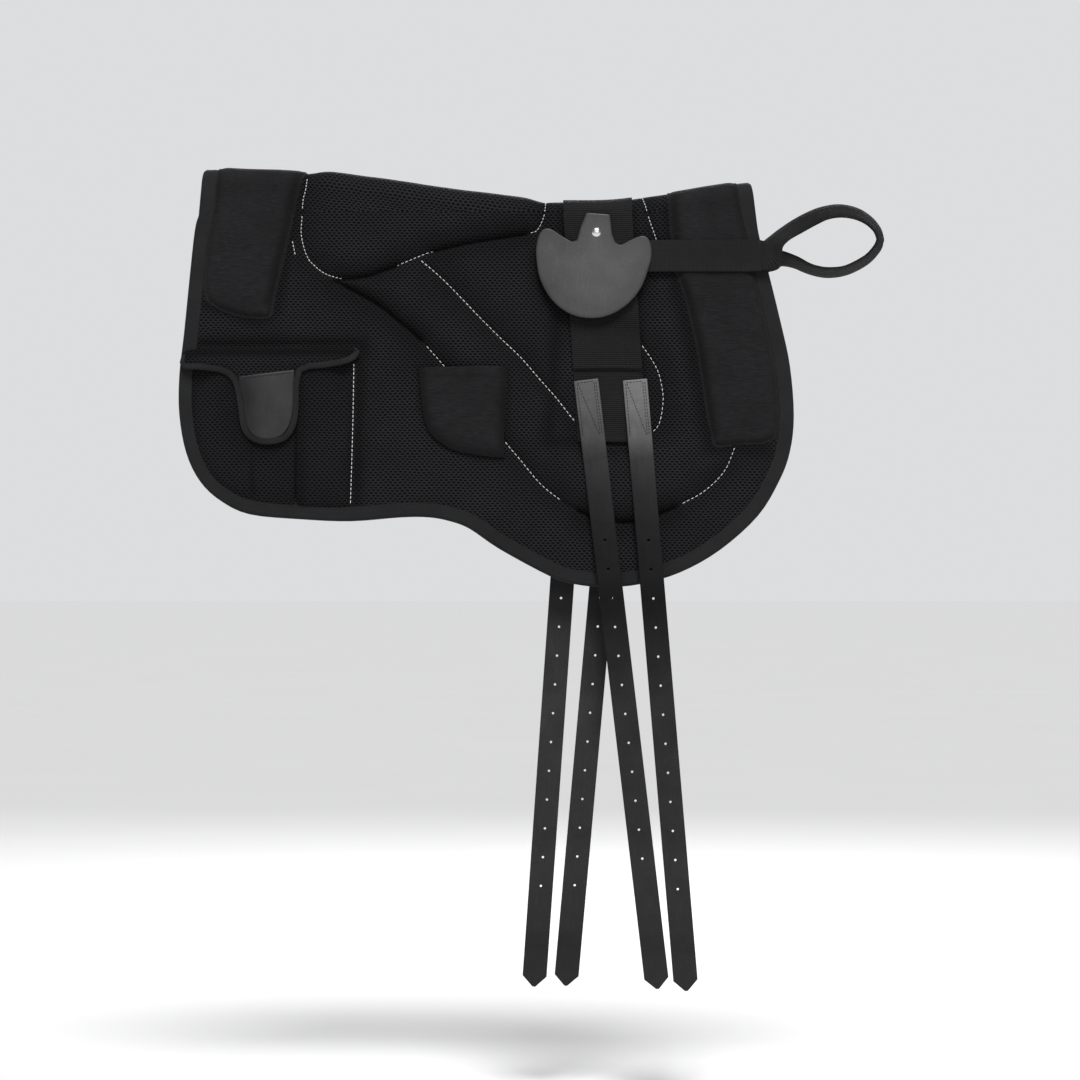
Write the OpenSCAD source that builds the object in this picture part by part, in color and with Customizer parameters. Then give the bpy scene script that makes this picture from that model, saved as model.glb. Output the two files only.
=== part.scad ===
// Bareback riding pad, folded over its spine and hung over a thin rail.
// Millimetres. +X is the front (withers end), +Z is up, the right side faces -Y.
// The origin is on the rail's axis, in the straight dip of the seat.

/* [Spine] */
// Radius of the channel that hangs on the rail
channel_r = 5; // [4:0.5:8]
// Thickness of the pad at the spine and in the flat areas
pad_t = 10; // [8:0.5:14]
// Length of the straight dip, behind and in front of the origin
dip = [57, 45]; // [30:1:80]
// Height of the spine above the dip: rear corner, rear slope top, front end
rise = [34, 31, 21]; // [0:1:40]

/* [Layers] */
// Inner lining
lining_t = 1.5; // [1:0.25:3]
// Air mesh cover
cover_t = 1.5; // [1:0.25:3]
// How far the stuffed seat and thigh areas stand out
puff = 3; // [2:0.5:3]
// Width of the edge binding
binding_w = 14; // [10:1:18]
// Thickness of the edge binding
binding_t = 0.8; // [0.5:0.1:1.5]

/* [Webbing] */
// Width of the girth carrier web
web_w = 71; // [60:1:80]
// Thickness of the lower, doubled layer
web_low_t = 3.1; // [2:0.1:3.1]
// Thickness of the single upper layer
web_up_t = 1.5; // [1:0.1:1.5]

/* [Billets] */
// Width of the leather billets
billet_w = 25; // [20:1:28]
// Thickness of the leather billets
billet_t = 3.5; // [2.5:0.5:4]
// Free length from the lowest stitch to the tip
billet_l = 569; // [450:1:620]
// Length of the stitched end
billet_end = 62; // [50:1:70]
// Radius of the buckle holes
hole_r = 2; // [1.5:0.25:3]
// Distance between buckle holes
hole_pitch = 30; // [25:1:32]
// Distance from the lowest stitch to the first hole
first_hole = 104; // [80:1:140]

/* [Pockets] */
// Depth of the storage pocket
pocket_d = 11; // [8:1:20]
// Depth of the small pocket
small_d = 5; // [4.5:0.5:8]
// Thickness of the shims in the side pockets
shim_t = 3.7; // [2:0.1:3.7]

/* [Shield] */
// Thickness of the leather shield
shield_t = 3; // [2:0.5:3]
// Radius of the rivet's cap
rivet_r = 5; // [4:0.5:6]

/* [Hidden] */
gap = 0.3;             // between pieces that move apart
fit = 0.1;             // between pieces that stay together
eps = 0.01;
outer = channel_r + pad_t;
web_y = outer + fit;
up_y = web_y + web_low_t + fit;
handle_y = up_y + web_up_t + fit;
billet_y = outer + puff + gap;
flap_y = handle_y + web_up_t + 1.6;
hinge_z = -24;         // the shield bends here
fold_z = -139;         // the storage flap folds here
big = 1200;
$fn = 48;

// ---------- curves ----------

// A point on a smooth curve between b and c
function mid(a, b, c, d, t) = 0.5 * (2 * b + (c - a) * t + (2 * a - 5 * b + 4 * c - d) * t * t
  + (3 * b - a - 3 * c + d) * t * t * t);
// A smooth closed curve through the points, with n steps between each two
function smooth(p, n) = let (m = len(p)) [for (i = [0:m - 1]) for (k = [0:n - 1])
  mid(p[(i + m - 1) % m], p[i], p[(i + 1) % m], p[(i + 2) % m], k / n)];
// A smooth open curve through the points
function open_curve(p, n) = let (m = len(p) - 1) [for (i = [0:m - 1]) for (k = [0:n - 1])
  mid(p[max(i - 1, 0)], p[i], p[i + 1], p[min(i + 2, m)], k / n), p[m]];
function unit(v) = v / norm(v);
// A clockwise closed curve moved inwards by d
function inset(p, d) = let (m = len(p)) [for (i = [0:m - 1])
  let (a = unit(p[i] - p[(i + m - 1) % m]), b = unit(p[(i + 1) % m] - p[i]),
       n = unit([a.y + b.y, -a.x - b.x])) p[i] + n * d / max(n * [a.y, -a.x], 0.5)];

// ---------- outlines, as X and Z, clockwise ----------

edge = open_curve([[191, 0], [194, -20], [202, -51], [216, -108], [226, -155], [230, -206],
  [226, -243], [215, -273], [193, -309], [154, -344], [113, -367], [72, -379], [36, -382],
  [5, -379], [-20, -371], [-72, -343], [-103, -322], [-124, -314], [-146, -310], [-175, -310],
  [-227, -314], [-278, -312], [-330, -307], [-360, -293], [-381, -273], [-395, -244],
  [-402, -205], [-402, -165], [-397, -120], [-391, -60], [-386, -15], [-382, 0]], 2);
outline = concat([[186, 40]], edge, [[-377, 60]]);

function seat_area() = concat([[-26, 40]],
  open_curve([[-29, -6], [-37, -16], [-55, -22], [-103, -28], [-150, -38], [-188, -53],
    [-212, -61], [-238, -63], [-256, -56], [-270, -40], [-275, -20], [-276, -1]], 2), [[-272, 40]]);

// The thigh area is a band round the girth web; the left web leans back, so its band is wider
function thigh_area(s) = let (k = s > 0 ? 0 : -23) smooth([[-149, -50], [-113, -82],
  [-72, -124], [-34, -166], [-8 + k * 0.8, -204], [2 + k, -231], [20 + k, -241], [62, -242],
  [83, -236], [97, -216], [101, -185], [96, -151], [87, -118], [80, -70], [104, -68],
  [112, -87], [122, -123], [131, -175], [136, -212], [142, -244], [163, -246], [157, -261],
  [134, -284], [101, -302], [57, -312], [15, -304], [-8, -293], [-31, -275], [-67, -231],
  [-98, -192], [-128, -153], [-155, -124], [-194, -90], [-222, -71], [-200, -66], [-175, -59]], 2);

rear_patch = [[-361, 60], [-269, 60], [-281, 16], [-288, -20], [-296, -50], [-303, -82],
  [-307, -106], [-340, -104], [-361, -96], [-378, -83], [-374, -46], [-368, -5]];
front_patch = [[100, 60], [170, 60], [174, -5], [183, -37], [195, -92], [205, -135],
  [210, -175], [212, -205], [208, -228], [175, -232], [148, -238], [141, -211], [129, -134],
  [118, -87], [108, -59]];
small_patch = [[-156, -157], [-65, -156], [-67, -190], [-69, -233], [-68, -249], [-93, -247],
  [-119, -242], [-137, -231], [-147, -219], [-152, -200]];
pocket_patch = [[-386, -146], [-224, -146], [-225, -220], [-228, -296], [-280, -296],
  [-328, -291], [-352, -280], [-369, -263], [-380, -240], [-386, -206]];
flap_edge = concat([[-376, -139], [-222, -139], [-217, -143], [-227, -150], [-242, -154],
  [-258, -157], [-278, -158]], open_curve([[-280, -175], [-281, -204], [-285, -221],
  [-297, -232], [-314, -235], [-328, -231], [-337, -219], [-341, -193], [-347, -170]], 3),
  [[-360, -160], [-381, -158], [-400, -157]]);
tab_patch = concat([[-338, -164], [-290, -162]], open_curve([[-291, -190], [-293, -212],
  [-302, -224], [-314, -227], [-325, -223], [-332, -210], [-336, -190]], 3));
shield_lobes = concat([[45, hinge_z - gap], [46, -28], [52, -31]], open_curve([[62, -26],
  [72, -22], [79, -23], [83, -30], [81, -52], [73, -74], [58, -93], [36, -105], [20, -107],
  [-1, -101], [-20, -86], [-31, -66], [-35, -42], [-32, -19], [-25, -14], [-17, -16],
  [-8, -23]], 3), [[2, -28], [7, hinge_z - gap]]);

// Carrier web, from its top edge at the spine to the height z; the left one leans back
function web_shape(s, z) = let (lean = s > 0 ? 0.064 : -0.034)
  [[-7, 20], [-7 + web_w, 20], [-7 + web_w - z * lean, z], [-7 - z * lean, z]];

// ---------- helpers ----------

// A flat piece lying between y0 and y1 from the mid plane, on the right
module slab(y0, y1) translate([0, -y0, 0]) rotate([90, 0, 0]) linear_extrude(y1 - y0) children();
// Everything below the line where a side swings
module below() intersection() {
  children();
  translate([-big / 2, -big / 2, -gap - big]) cube(big);
}
// s = 1 is the right side and s = -1 the left
module side(s) mirror([0, s > 0 ? 0 : 1, 0]) children();

stations = [[-400, rise[0] + 1], [-278, rise[1]], [-dip[0], 0], [dip[1], 0], [195, rise[2] + 2]];
function spine_h(x) = lookup(x, stations);

// One cross-section of a shell over the spine: the outer line, then the inner one, each a foot,
// an arc and a foot. The section stands at x and leans by k millimetres a millimetre of height.
function arch(ri, ro, x, k) = [for (r = [ro, ri]) each concat([[x, -r, -0.05]],
  [for (a = [0:15:180]) let (x1 = x + k * (spine_h(x) + r * sin(a)))
    [x1, -r * cos(a), spine_h(x1) + r * sin(a)]], [[x, r, -0.05]])];
function tri(a, b, c, d) = [[a, b, c], [a, c, d]];
// A shell that follows the spine between two ends, each given as [x at z = 0, lean]
module spine_shell(ri, ro, rear, front) {
  inner = [for (s = stations) if (s.x > rear.x + 5 && s.x < front.x - 5) s.x];
  points = concat(arch(ri, ro, rear.x, rear.y), [for (x = inner) each arch(ri, ro, x, 0)],
    arch(ri, ro, front.x, front.y));
  m = 15;
  q = 2 * m;
  e = q * (len(inner) + 1);
  starts = [for (b = [0:q:e - q]) b];
  faces = concat(
    [for (b = starts) for (i = [b:b + m - 2]) each tri(i, i + 1, i + q + 1, i + q)],
    [for (b = starts) for (i = [b + m:b + q - 2]) each tri(i, i + q, i + q + 1, i + 1)],
    [for (b = starts) each tri(b, b + q, b + q + m, b + m)],
    [for (b = starts) each tri(b + m - 1, b + q - 1, b + 2 * q - 1, b + q + m - 1)],
    [for (i = [0:m - 2]) each tri(i, i + m, i + m + 1, i + 1)],
    [for (i = [0:m - 2]) each tri(e + i, e + i + 1, e + i + m + 1, e + i + m)]);
  polyhedron(points, faces);
}

rear_end = [-382, 0.086];
front_end = [191, -0.086];
function back_from(e, d) = [e.x + d, e.y];

// ---------- spine ----------

module spine_lining() color("dimgray") {
  spine_shell(channel_r + 0.1, channel_r + lining_t, back_from(rear_end, 1), back_from(front_end, -1));
  difference() {
    spine_shell(channel_r - 0.1, channel_r + 0.4, [-dip[0], 0], [dip[1], 0]);
    translate([-dip[0] - 1, 0, 0]) rotate([0, 90, 0]) cylinder(r = channel_r, h = dip[0] + dip[1] + 2);
  }
}
module spine_core() color("khaki") spine_shell(channel_r + lining_t + fit, outer - cover_t - fit,
  back_from(rear_end, 1), back_from(front_end, -1));
module spine_cover() color("#333")
  spine_shell(outer - cover_t, outer, back_from(rear_end, 1), back_from(front_end, -1));
module spine_binding_front() color("#222") {
  spine_shell(outer + fit, outer + binding_t, back_from(front_end, -binding_w), front_end);
  spine_shell(channel_r, outer + binding_t / 2, back_from(front_end, -0.9), back_from(front_end, -0.1));
}
module spine_binding_rear() color("#222") {
  spine_shell(outer + fit, outer + binding_t, rear_end, back_from(rear_end, binding_w));
  spine_shell(channel_r, outer + binding_t / 2, back_from(rear_end, 0.1), back_from(rear_end, 0.9));
}
module spine_patch_rear() color("#2b2b30")
  spine_shell(outer + fit, outer + 1, back_from(rear_end, binding_w + 0.5), [-285, 0.13]);
module spine_patch_front() color("#2b2b30")
  spine_shell(outer + fit, outer + 1, [102, -0.13], back_from(front_end, -binding_w - 0.5));
module spine_web() color("#3a3a3a")
  spine_shell(outer + fit, outer + fit + web_up_t, [-7, 0], [-7 + web_w, 0]);

// ---------- side layers ----------

module lining() color("dimgray") below() slab(channel_r, channel_r + lining_t)
  polygon(inset(outline, binding_w + fit));
module core() color("khaki") below()
  slab(channel_r + lining_t + fit, outer - cover_t - fit) polygon(inset(outline, 1));
module cover(s) color("#333") below() difference() {
  union() {
    slab(outer - cover_t, outer) polygon(inset(outline, 1));
    slab(outer - eps, outer + puff) polygon(seat_area());
    slab(outer - eps, outer + puff) polygon(thigh_area(s));
  }
  slab(outer - cover_t - 1, outer + puff - cover_t) polygon(inset(seat_area(), cover_t));
  slab(outer - cover_t - 1, outer + puff - cover_t) polygon(inset(thigh_area(s), cover_t));
}
module seat_insert() color("beige") below()
  slab(outer - cover_t, outer + puff - cover_t - fit) polygon(inset(seat_area(), cover_t + fit));
module thigh_insert(s) color("beige")
  slab(outer - cover_t, outer + puff - cover_t - fit) polygon(inset(thigh_area(s), cover_t + fit));
module binding() color("#222") below() difference() {
  slab(channel_r, outer + binding_t) polygon(outline);
  slab(channel_r + binding_t, outer + fit / 2) polygon(inset(outline, 1 - fit));
  slab(channel_r - 1, outer + 2) polygon(inset(outline, binding_w));
}

// A closed pocket round a shim: front panel and four walls
module shim_pocket(p) color("#2b2b30") below() difference() {
  slab(outer + fit, outer + fit + shim_t + fit + 0.8) polygon(p);
  slab(outer - 1, outer + fit + shim_t + fit / 2) polygon(inset(p, 1.5));
}
module shim(p) color("beige") below()
  slab(outer + fit, outer + fit + shim_t) polygon(inset(p, 1.5 + fit));

module small_pocket(s) color("#2b2b30") {
  back = outer + puff + fit;
  difference() {
    slab(back, back + small_d + 2.4) polygon(small_patch);
    slab(back + 1.2, back + small_d + 1.2) intersection() {
      polygon(concat([[-156, -140], [-65, -140]], [for (p = inset(small_patch, 1.5)) if (p.y < -159) p]));
      polygon([[-170, -140], [-50, -140], [-50, -260], [-170, -260]]);
    }
  }
  slab(outer + fit, back + 0.1) difference() {
    polygon(small_patch);
    polygon(inset(thigh_area(s), -0.3));
  }
}

// An open-topped bag with its own back panel
module pocket() color("#303030") difference() {
  slab(outer + fit, outer + fit + pocket_d) polygon(pocket_patch);
  slab(outer + fit + 1, outer + fit + pocket_d - 1)
    polygon(concat([[-385.5, -130], [-226, -130]], [for (p = inset(pocket_patch, 1.5)) if (p.y < -150) p]));
}
flap_in = outer + fit + pocket_d + 1;
module pocket_flap() color("#2a2a2a") {
  slab(flap_in, flap_in + 2.5) polygon(flap_edge);
  slab(outer + gap, flap_in + eps) polygon([[-375, fold_z], [-222, fold_z], [-222, fold_z - 2.5], [-375, fold_z - 2.5]]);
}
module pocket_tab() color("#555") slab(flap_in + 2.5 + fit, flap_in + 4.5) polygon(tab_patch);

// ---------- girth web, billets ----------

rivet_at = [27, -18];
module web_lower(s) color("#3a3a3a") below() difference() {
  slab(web_y, web_y + web_low_t) polygon(web_shape(s, -233));
  translate([rivet_at.x, 0, rivet_at.y]) rotate([90, 0, 0]) {
    cylinder(r = 2, h = 40);
    cylinder(r = rivet_r + 0.2, h = web_y + 1);
  }
}
module web_upper(s) color("#444") below() difference() {
  slab(up_y, up_y + web_up_t) polygon(web_shape(s, -159));
  translate([rivet_at.x, 0, rivet_at.y]) rotate([90, 0, 0]) cylinder(r = 2, h = 40);
}

// Each billet: X and Z of its lowest stitch, lean in degrees, number of holes
right_rear = [23.7, -231, 6.7, 12];
right_front = [72, -231, 4.8, 13];
left_rear = [2.4, -231, -4, 13];
left_front = [46.4, -231, -5.1, 13];

module at_billet(b) translate([b[0], 0, b[1]]) rotate([0, -b[2], 0]) children();
module billet(b) color("#4a4a4a") at_billet(b) difference() {
  slab(billet_y, billet_y + billet_t) polygon([[-billet_w / 2, -gap], [billet_w / 2, -gap],
    [billet_w / 2, 11 - billet_l], [0, -billet_l], [-billet_w / 2, 11 - billet_l]]);
  for (i = [0:b[3] - 1]) translate([0, 0, -first_hole - i * hole_pitch])
    rotate([90, 0, 0]) cylinder(r = hole_r, h = 60, $fn = 24);
}
module billet_stitched(b) color("#5a5a5a") at_billet(b) slab(billet_y, billet_y + billet_t)
  polygon([[-billet_w / 2, 0], [-billet_w / 2, billet_end], [billet_w / 2, billet_end], [billet_w / 2, 0]]);

// ---------- shield, rivet ----------

module shield_tab() color("#666") difference() {
  slab(handle_y, handle_y + shield_t)
    polygon([[16, -0.5], [41, -0.5], [43, -20], [45, hinge_z], [7.5, hinge_z], [10, -13]]);
  translate([rivet_at.x, 0, rivet_at.y]) rotate([90, 0, 0]) cylinder(r = 2, h = 40);
}
module shield_flap() color("#777") slab(flap_y, flap_y + shield_t) polygon(shield_lobes);
module rivet() color("silver") translate([rivet_at.x, 0, rivet_at.y]) rotate([90, 0, 0]) {
  translate([0, 0, web_y]) cylinder(r = rivet_r, h = 0.8);
  translate([0, 0, web_y]) cylinder(r = 1.9, h = handle_y + shield_t + 1 - web_y);
  translate([0, 0, handle_y + shield_t + 0.05]) cylinder(r1 = rivet_r, r2 = rivet_r - 1.5, h = 1.5);
}

// ---------- grab handle ----------

module handle_web() color("#3a3a3a") slab(handle_y, handle_y + web_up_t)
  polygon([[2, hinge_z - 1.5], [197, hinge_z - 1.5], [203, -30], [204, -54], [198, -58], [2, -58]]);

// Half of the loop: X, Z and width at each step; the right half is the upper limb
right_path = [[208, -40, 26], [211, -39, 24], [216, -30, 17], [237, -11, 15], [258, 1, 15], [280, 5, 14],
  [299, 2, 12], [312, -5, 10], [318.5, -14, 9], [320.5, -24, 8]];
left_path = [[207, -41, 26], [222, -42, 14], [240, -49, 10], [258, -55, 9], [280, -57, 9],
  [300, -51, 9], [313, -42, 8], [319, -33, 8], [320.5, -25, 8]];
function travel(p, i) = i == 0 ? 0 : travel(p, i - 1) + norm([p[i].x - p[i - 1].x, p[i].y - p[i - 1].y]);
module handle_half(p) color("#3a3a3a") {
  n = len(p) - 1;
  points = [for (i = [0:n])
    let (a = p[max(i - 1, 0)], b = p[min(i + 1, n)], d = unit([b.x - a.x, b.y - a.y]),
         y = -19.5 + 17 * travel(p, i) / travel(p, n))
    for (c = [[-1, -1], [1, -1], [1, 1], [-1, 1]])
      [p[i].x - d.y * c.x * p[i].z / 2, y + c.y * 2, p[i].y + d.x * c.x * p[i].z / 2]];
  polyhedron(points, concat(tri(0, 1, 2, 3), tri(4 * n + 3, 4 * n + 2, 4 * n + 1, 4 * n),
    [for (b = [0:4:4 * n - 4]) for (i = [0:3]) each tri(b + i, b + i + 4, b + (i + 1) % 4 + 4, b + (i + 1) % 4)]));
}

// ---------- nodes ----------

spine_lining();
spine_core();
spine_cover();
spine_binding_front();
spine_binding_rear();
spine_patch_rear();
spine_patch_front();
spine_web();
for (s = [1, -1]) {
  name = s > 0 ? "right_" : "left_";
  rear = s > 0 ? right_rear : left_rear;
  front = s > 0 ? right_front : left_front;
  side(s) {
    lining();
    core();
    cover(s);
    seat_insert();
    thigh_insert(s);
    binding();
    shim_pocket(rear_patch);
    shim(rear_patch);
    shim_pocket(front_patch);
    shim(front_patch);
    small_pocket(s);
    pocket();
    pocket_flap();
    pocket_tab();
    web_lower(s);
    web_upper(s);
    billet_stitched(rear);
    billet_stitched(front);
    billet(rear);
    billet(front);
    shield_tab();
    shield_flap();
    rivet();
    handle_web();
    handle_half(s > 0 ? right_path : left_path);
  }
}
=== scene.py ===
import math

import bmesh
import bpy
import numpy as np
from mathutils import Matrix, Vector
from mathutils.geometry import delaunay_2d_cdt


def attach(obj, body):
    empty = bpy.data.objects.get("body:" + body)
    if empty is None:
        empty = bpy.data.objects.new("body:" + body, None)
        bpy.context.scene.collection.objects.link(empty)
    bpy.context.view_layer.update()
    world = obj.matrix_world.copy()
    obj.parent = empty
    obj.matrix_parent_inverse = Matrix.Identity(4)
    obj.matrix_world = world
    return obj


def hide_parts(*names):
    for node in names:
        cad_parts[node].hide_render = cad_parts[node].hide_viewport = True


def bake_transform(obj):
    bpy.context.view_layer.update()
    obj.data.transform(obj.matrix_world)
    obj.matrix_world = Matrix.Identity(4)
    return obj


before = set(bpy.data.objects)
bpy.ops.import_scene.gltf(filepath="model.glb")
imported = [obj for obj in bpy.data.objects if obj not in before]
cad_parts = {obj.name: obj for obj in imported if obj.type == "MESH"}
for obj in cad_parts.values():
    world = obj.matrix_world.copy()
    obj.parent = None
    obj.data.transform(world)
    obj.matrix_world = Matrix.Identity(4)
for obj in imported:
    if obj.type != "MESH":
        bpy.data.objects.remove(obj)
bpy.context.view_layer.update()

# The cloth is laid out flat in millimetres: x runs forward along the spine and w runs up the
# side. Above the spine's height h(x) it turns over an arc. r is the distance from the mid plane.
RADIUS = 15           # of that arc, at the pad's outer face
ARC = RADIUS * math.pi / 2
JOIN = 4.0            # the sides meet the spine strip at this height
MID = 10.0            # middle of the pad's thickness
TAPE_WIDTH = 14.0
TAPE_LIFT = 0.75      # how far the edge tape stands on the pad
TAPE_SEAM = 12.2      # the tape's stitches run this far from the pad's edge
ABOVE = 60            # a height well above the join, where a side's lines may run on to
HEM_SEAM = 2.2        # a canvas patch's stitches run this far from its edge
FULL = 9              # a distance from an edge at which a piece has its full thickness


# ---------- curves ----------

def curve(points, n=4, closed=False):
    """A smooth curve through the points, with n steps between each two."""
    p = np.array(points, float)
    m = len(p)
    out = []
    for i in range(m if closed else m - 1):
        if closed:
            a, b, c, d = p[i - 1], p[i], p[(i + 1) % m], p[(i + 2) % m]
        else:
            a, b, c, d = p[max(i - 1, 0)], p[i], p[i + 1], p[min(i + 2, m - 1)]
        for k in range(n):
            t = k / n
            out.append(0.5 * (2 * b + (c - a) * t + (2 * a - 5 * b + 4 * c - d) * t ** 2
                              + (3 * b - a - 3 * c + d) * t ** 3))
    if not closed:
        out.append(p[-1])
    return np.array(out)


def walk(points, step, closed=False):
    """The same line with no segment longer than step."""
    p = np.array(points, float)
    ends = np.roll(p, -1, 0) if closed else p[1:]
    out = []
    for a, b in zip(p, ends):
        n = max(1, math.ceil(np.linalg.norm(b - a) / step))
        out += [a + (b - a) * k / n for k in range(n)]
    if not closed:
        out.append(p[-1])
    return np.array(out)


def even(points, pitch, start=0.0):
    """Points at equal distances along a line, and the direction at each."""
    p = np.array(points, float)
    d = np.linalg.norm(np.diff(p, axis=0), axis=1)
    s = np.concatenate([[0], np.cumsum(d)])
    t = np.arange(start + pitch / 2, s[-1] - pitch / 3, pitch)
    xy = np.stack([np.interp(t, s, p[:, k]) for k in (0, 1)], 1)
    ab = np.stack([np.interp(t + 1, s, p[:, k]) - np.interp(t - 1, s, p[:, k]) for k in (0, 1)], 1)
    return xy, ab / np.linalg.norm(ab, axis=1)[:, None]


def dist(p, line, closed=False):
    """Distance of each point from a line."""
    a = np.array(line, float)
    b = np.roll(a, -1, 0) if closed else a[1:]
    a = a if closed else a[:-1]
    best = np.full(len(p), 1e9)
    for u, v in zip(a, b):
        e = v - u
        t = np.clip(((p - u) @ e) / max(e @ e, 1e-12), 0, 1)
        q = p - u - t[:, None] * e
        best = np.minimum(best, q[:, 0] ** 2 + q[:, 1] ** 2)
    return np.sqrt(best)


def inside(p, poly):
    """True where a point lies in the polygon."""
    a = np.array(poly, float)
    b = np.roll(a, -1, 0)
    hit = np.zeros(len(p), bool)
    for u, v in zip(a, b):
        if u[1] == v[1]:
            continue
        cross = (u[1] > p[:, 1]) != (v[1] > p[:, 1])
        hit ^= cross & (p[:, 0] < (v[0] - u[0]) * (p[:, 1] - u[1]) / (v[1] - u[1]) + u[0])
    return hit


def smooth(v, lo, hi):
    t = np.clip((v - lo) / (hi - lo), 0, 1)
    return t * t * (3 - 2 * t)


def bell(d, width):
    return np.exp(-(d / width) ** 2)


def rounded(d, reach):
    """0 at an edge and 1 from reach on, as a quarter circle."""
    return np.sqrt(1 - (1 - np.clip(d / reach, 0, 1)) ** 2)


def xy(x, w):
    """Flat points as rows, from their x and their w."""
    return np.stack(np.broadcast_arrays(x, w), 1)


def closed_ring(loop):
    return np.vstack([loop, loop[:1]])


def angles(n):
    return np.arange(n) / n * 2 * math.pi


def across(path):
    """The unit vector to the right of a path at each of its points."""
    t = np.gradient(path, axis=0)
    t /= np.linalg.norm(t, axis=1)[:, None]
    return np.stack([t[:, 1], -t[:, 0]], 1)


def ripple(x, w, size, seed=0.0):
    """Slow, even unevenness between -1 and 1."""
    k = 2 * math.pi / size
    return (np.sin(k * (x + 0.3 * w) + seed) + np.sin(k * 1.37 * (0.6 * x - w) + 2.1 + seed)
            + np.sin(k * 0.71 * (w + 1.1 * x) + 4.4 + 2 * seed)
            + 0.6 * np.sin(k * 2.3 * (w - 0.4 * x) + seed * 3)) / 3.6


# ---------- the pad's shape ----------

def spine_h(x):
    at = np.asarray(x, float)
    xs, hs = [-420, -278, -57, 45, 195, 220], [36, 31, 0, 0, 23, 26]
    return sum(np.interp(at + o, xs, hs) for o in (-18, -9, 0, 9, 18)) / 5


def top_w(x):
    return spine_h(x) + ARC


def place(x, w, r, s):
    """Flat cloth to the folded pad, in metres. s is 1 on the right side and -1 on the left."""
    h = spine_h(x)
    a = np.clip((w - h) / RADIUS, 0, None)
    return np.stack([x, -s * r * np.cos(a), np.where(w <= h, w, h + r * np.sin(a))], 1) / 1000


def strip_w(x, q):
    """The height w at the distance q down from the top line, on either side."""
    return top_w(x) - np.abs(q)


def over(x, q, r):
    """place() with q, the distance down from the top line, which is positive on the right."""
    s = np.where(q >= 0, 1.0, -1.0)
    return place(x, strip_w(x, q), r, s)


LOWER = curve([(191, 0), (194, -20), (202, -51), (216, -108), (226, -155), (230, -206), (226, -243),
               (215, -273), (193, -309), (154, -344), (113, -367), (72, -379), (36, -382), (5, -379),
               (-20, -371), (-72, -343), (-103, -322), (-124, -314), (-146, -310), (-175, -310),
               (-227, -314), (-278, -312), (-330, -307), (-360, -293), (-381, -273), (-395, -244),
               (-402, -205), (-402, -165), (-397, -120), (-391, -60), (-386, -15), (-382, 0)], 4)


def front_x(w):
    return 191 - 0.125 * w


def rear_x(w):
    return -382 + 0.09 * w


EDGE = np.array([(front_x(w), w) for w in np.arange(60, 1, -3)] + LOWER.tolist()
                + [(rear_x(w), w) for w in np.arange(3, 80, 3)])

SEAT = curve([(-269, 75), (-270, 52), (-272, 29), (-275, 16), (-276, 0), (-277, -17), (-275, -30), (-270, -44),
              (-263, -52), (-254, -59), (-244, -63), (-232, -65), (-211, -63), (-190, -56), (-179, -52),
              (-160, -44), (-141, -37), (-103, -28), (-72, -23), (-41, -18), (-33, -14), (-28, -4),
              (-26, 4.5), (-25, 20), (-25, 45)])
OUTER = curve([(-242, -68), (-216, -81), (-196, -93), (-175, -110), (-154, -128), (-129, -156),
               (-98, -192), (-67, -233), (-51, -252), (-31, -276), (-10, -293), (10, -305), (35, -313),
               (57, -316), (82, -311), (103, -303), (119, -295), (134, -287), (149, -275), (160, -262),
               (166, -249), (170, -238)])
INNER = curve([(-154, -46), (-134, -63), (-113, -84), (-93, -105), (-72, -126), (-51, -146), (-31, -169),
               (-15, -187), (5, -212), (20, -226), (45, -236), (70, -232), (85, -223), (92, -214),
               (95, -200), (96, -187), (94, -173), (90, -159), (82, -145), (74, -133), (70, -120)])
FRONT = curve([(72, 40), (74, 25), (77, 13), (82, -5), (88, -22), (93, -40)])
THIGH = curve([(-149, -50), (-113, -84), (-72, -126), (-34, -167), (-8, -200), (2, -231), (20, -241),
               (62, -242), (83, -232), (95, -216), (99, -185), (95, -158), (86, -140), (80, -110), (84, -70),
               (104, -66), (112, -87), (122, -123), (131, -175), (136, -212), (142, -244), (166, -246),
               (157, -265), (134, -286), (101, -304), (57, -315), (15, -307), (-8, -294), (-31, -276),
               (-67, -232), (-98, -192), (-128, -155), (-155, -127), (-194, -94), (-238, -70), (-205, -62),
               (-175, -50)], 3, True)
CENTRE = np.array([(-30, -16), (-141, -37), (-113, -84), (-72, -126), (-31, -169), (-15, -187), (-15, -16)])


def part(line, lo, hi):
    """The stretch of a line between its points nearest lo and hi."""
    i, j = sorted(int(np.argmin(((line - np.array(p)) ** 2).sum(1))) for p in (lo, hi))
    return line[i:j + 1]


# Seams as line, depth and half width of the groove; the deep creases hide their thread
SEAMS = [(SEAT[SEAT[:, 1] < 60], 2.0, 2.4), (OUTER, 2.2, 2.6), (INNER, 1.9, 2.4), (FRONT, 1.3, 2.0),
         (part(SEAT, (-236, -64.5), (-180, -52)), 2.6, 3.4), (part(SEAT, (-140, -37), (-44, -19)), 3.0, 3.2),
         (part(OUTER, (-240, -69), (-152, -130)), 3.2, 3.4), (part(OUTER, (8, -304), (106, -302)), 2.8, 3.2),
         (np.array([(-392, -133.5), (-300, -133), (-222, -131.5)]), 1.6, 2.6)]

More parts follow.
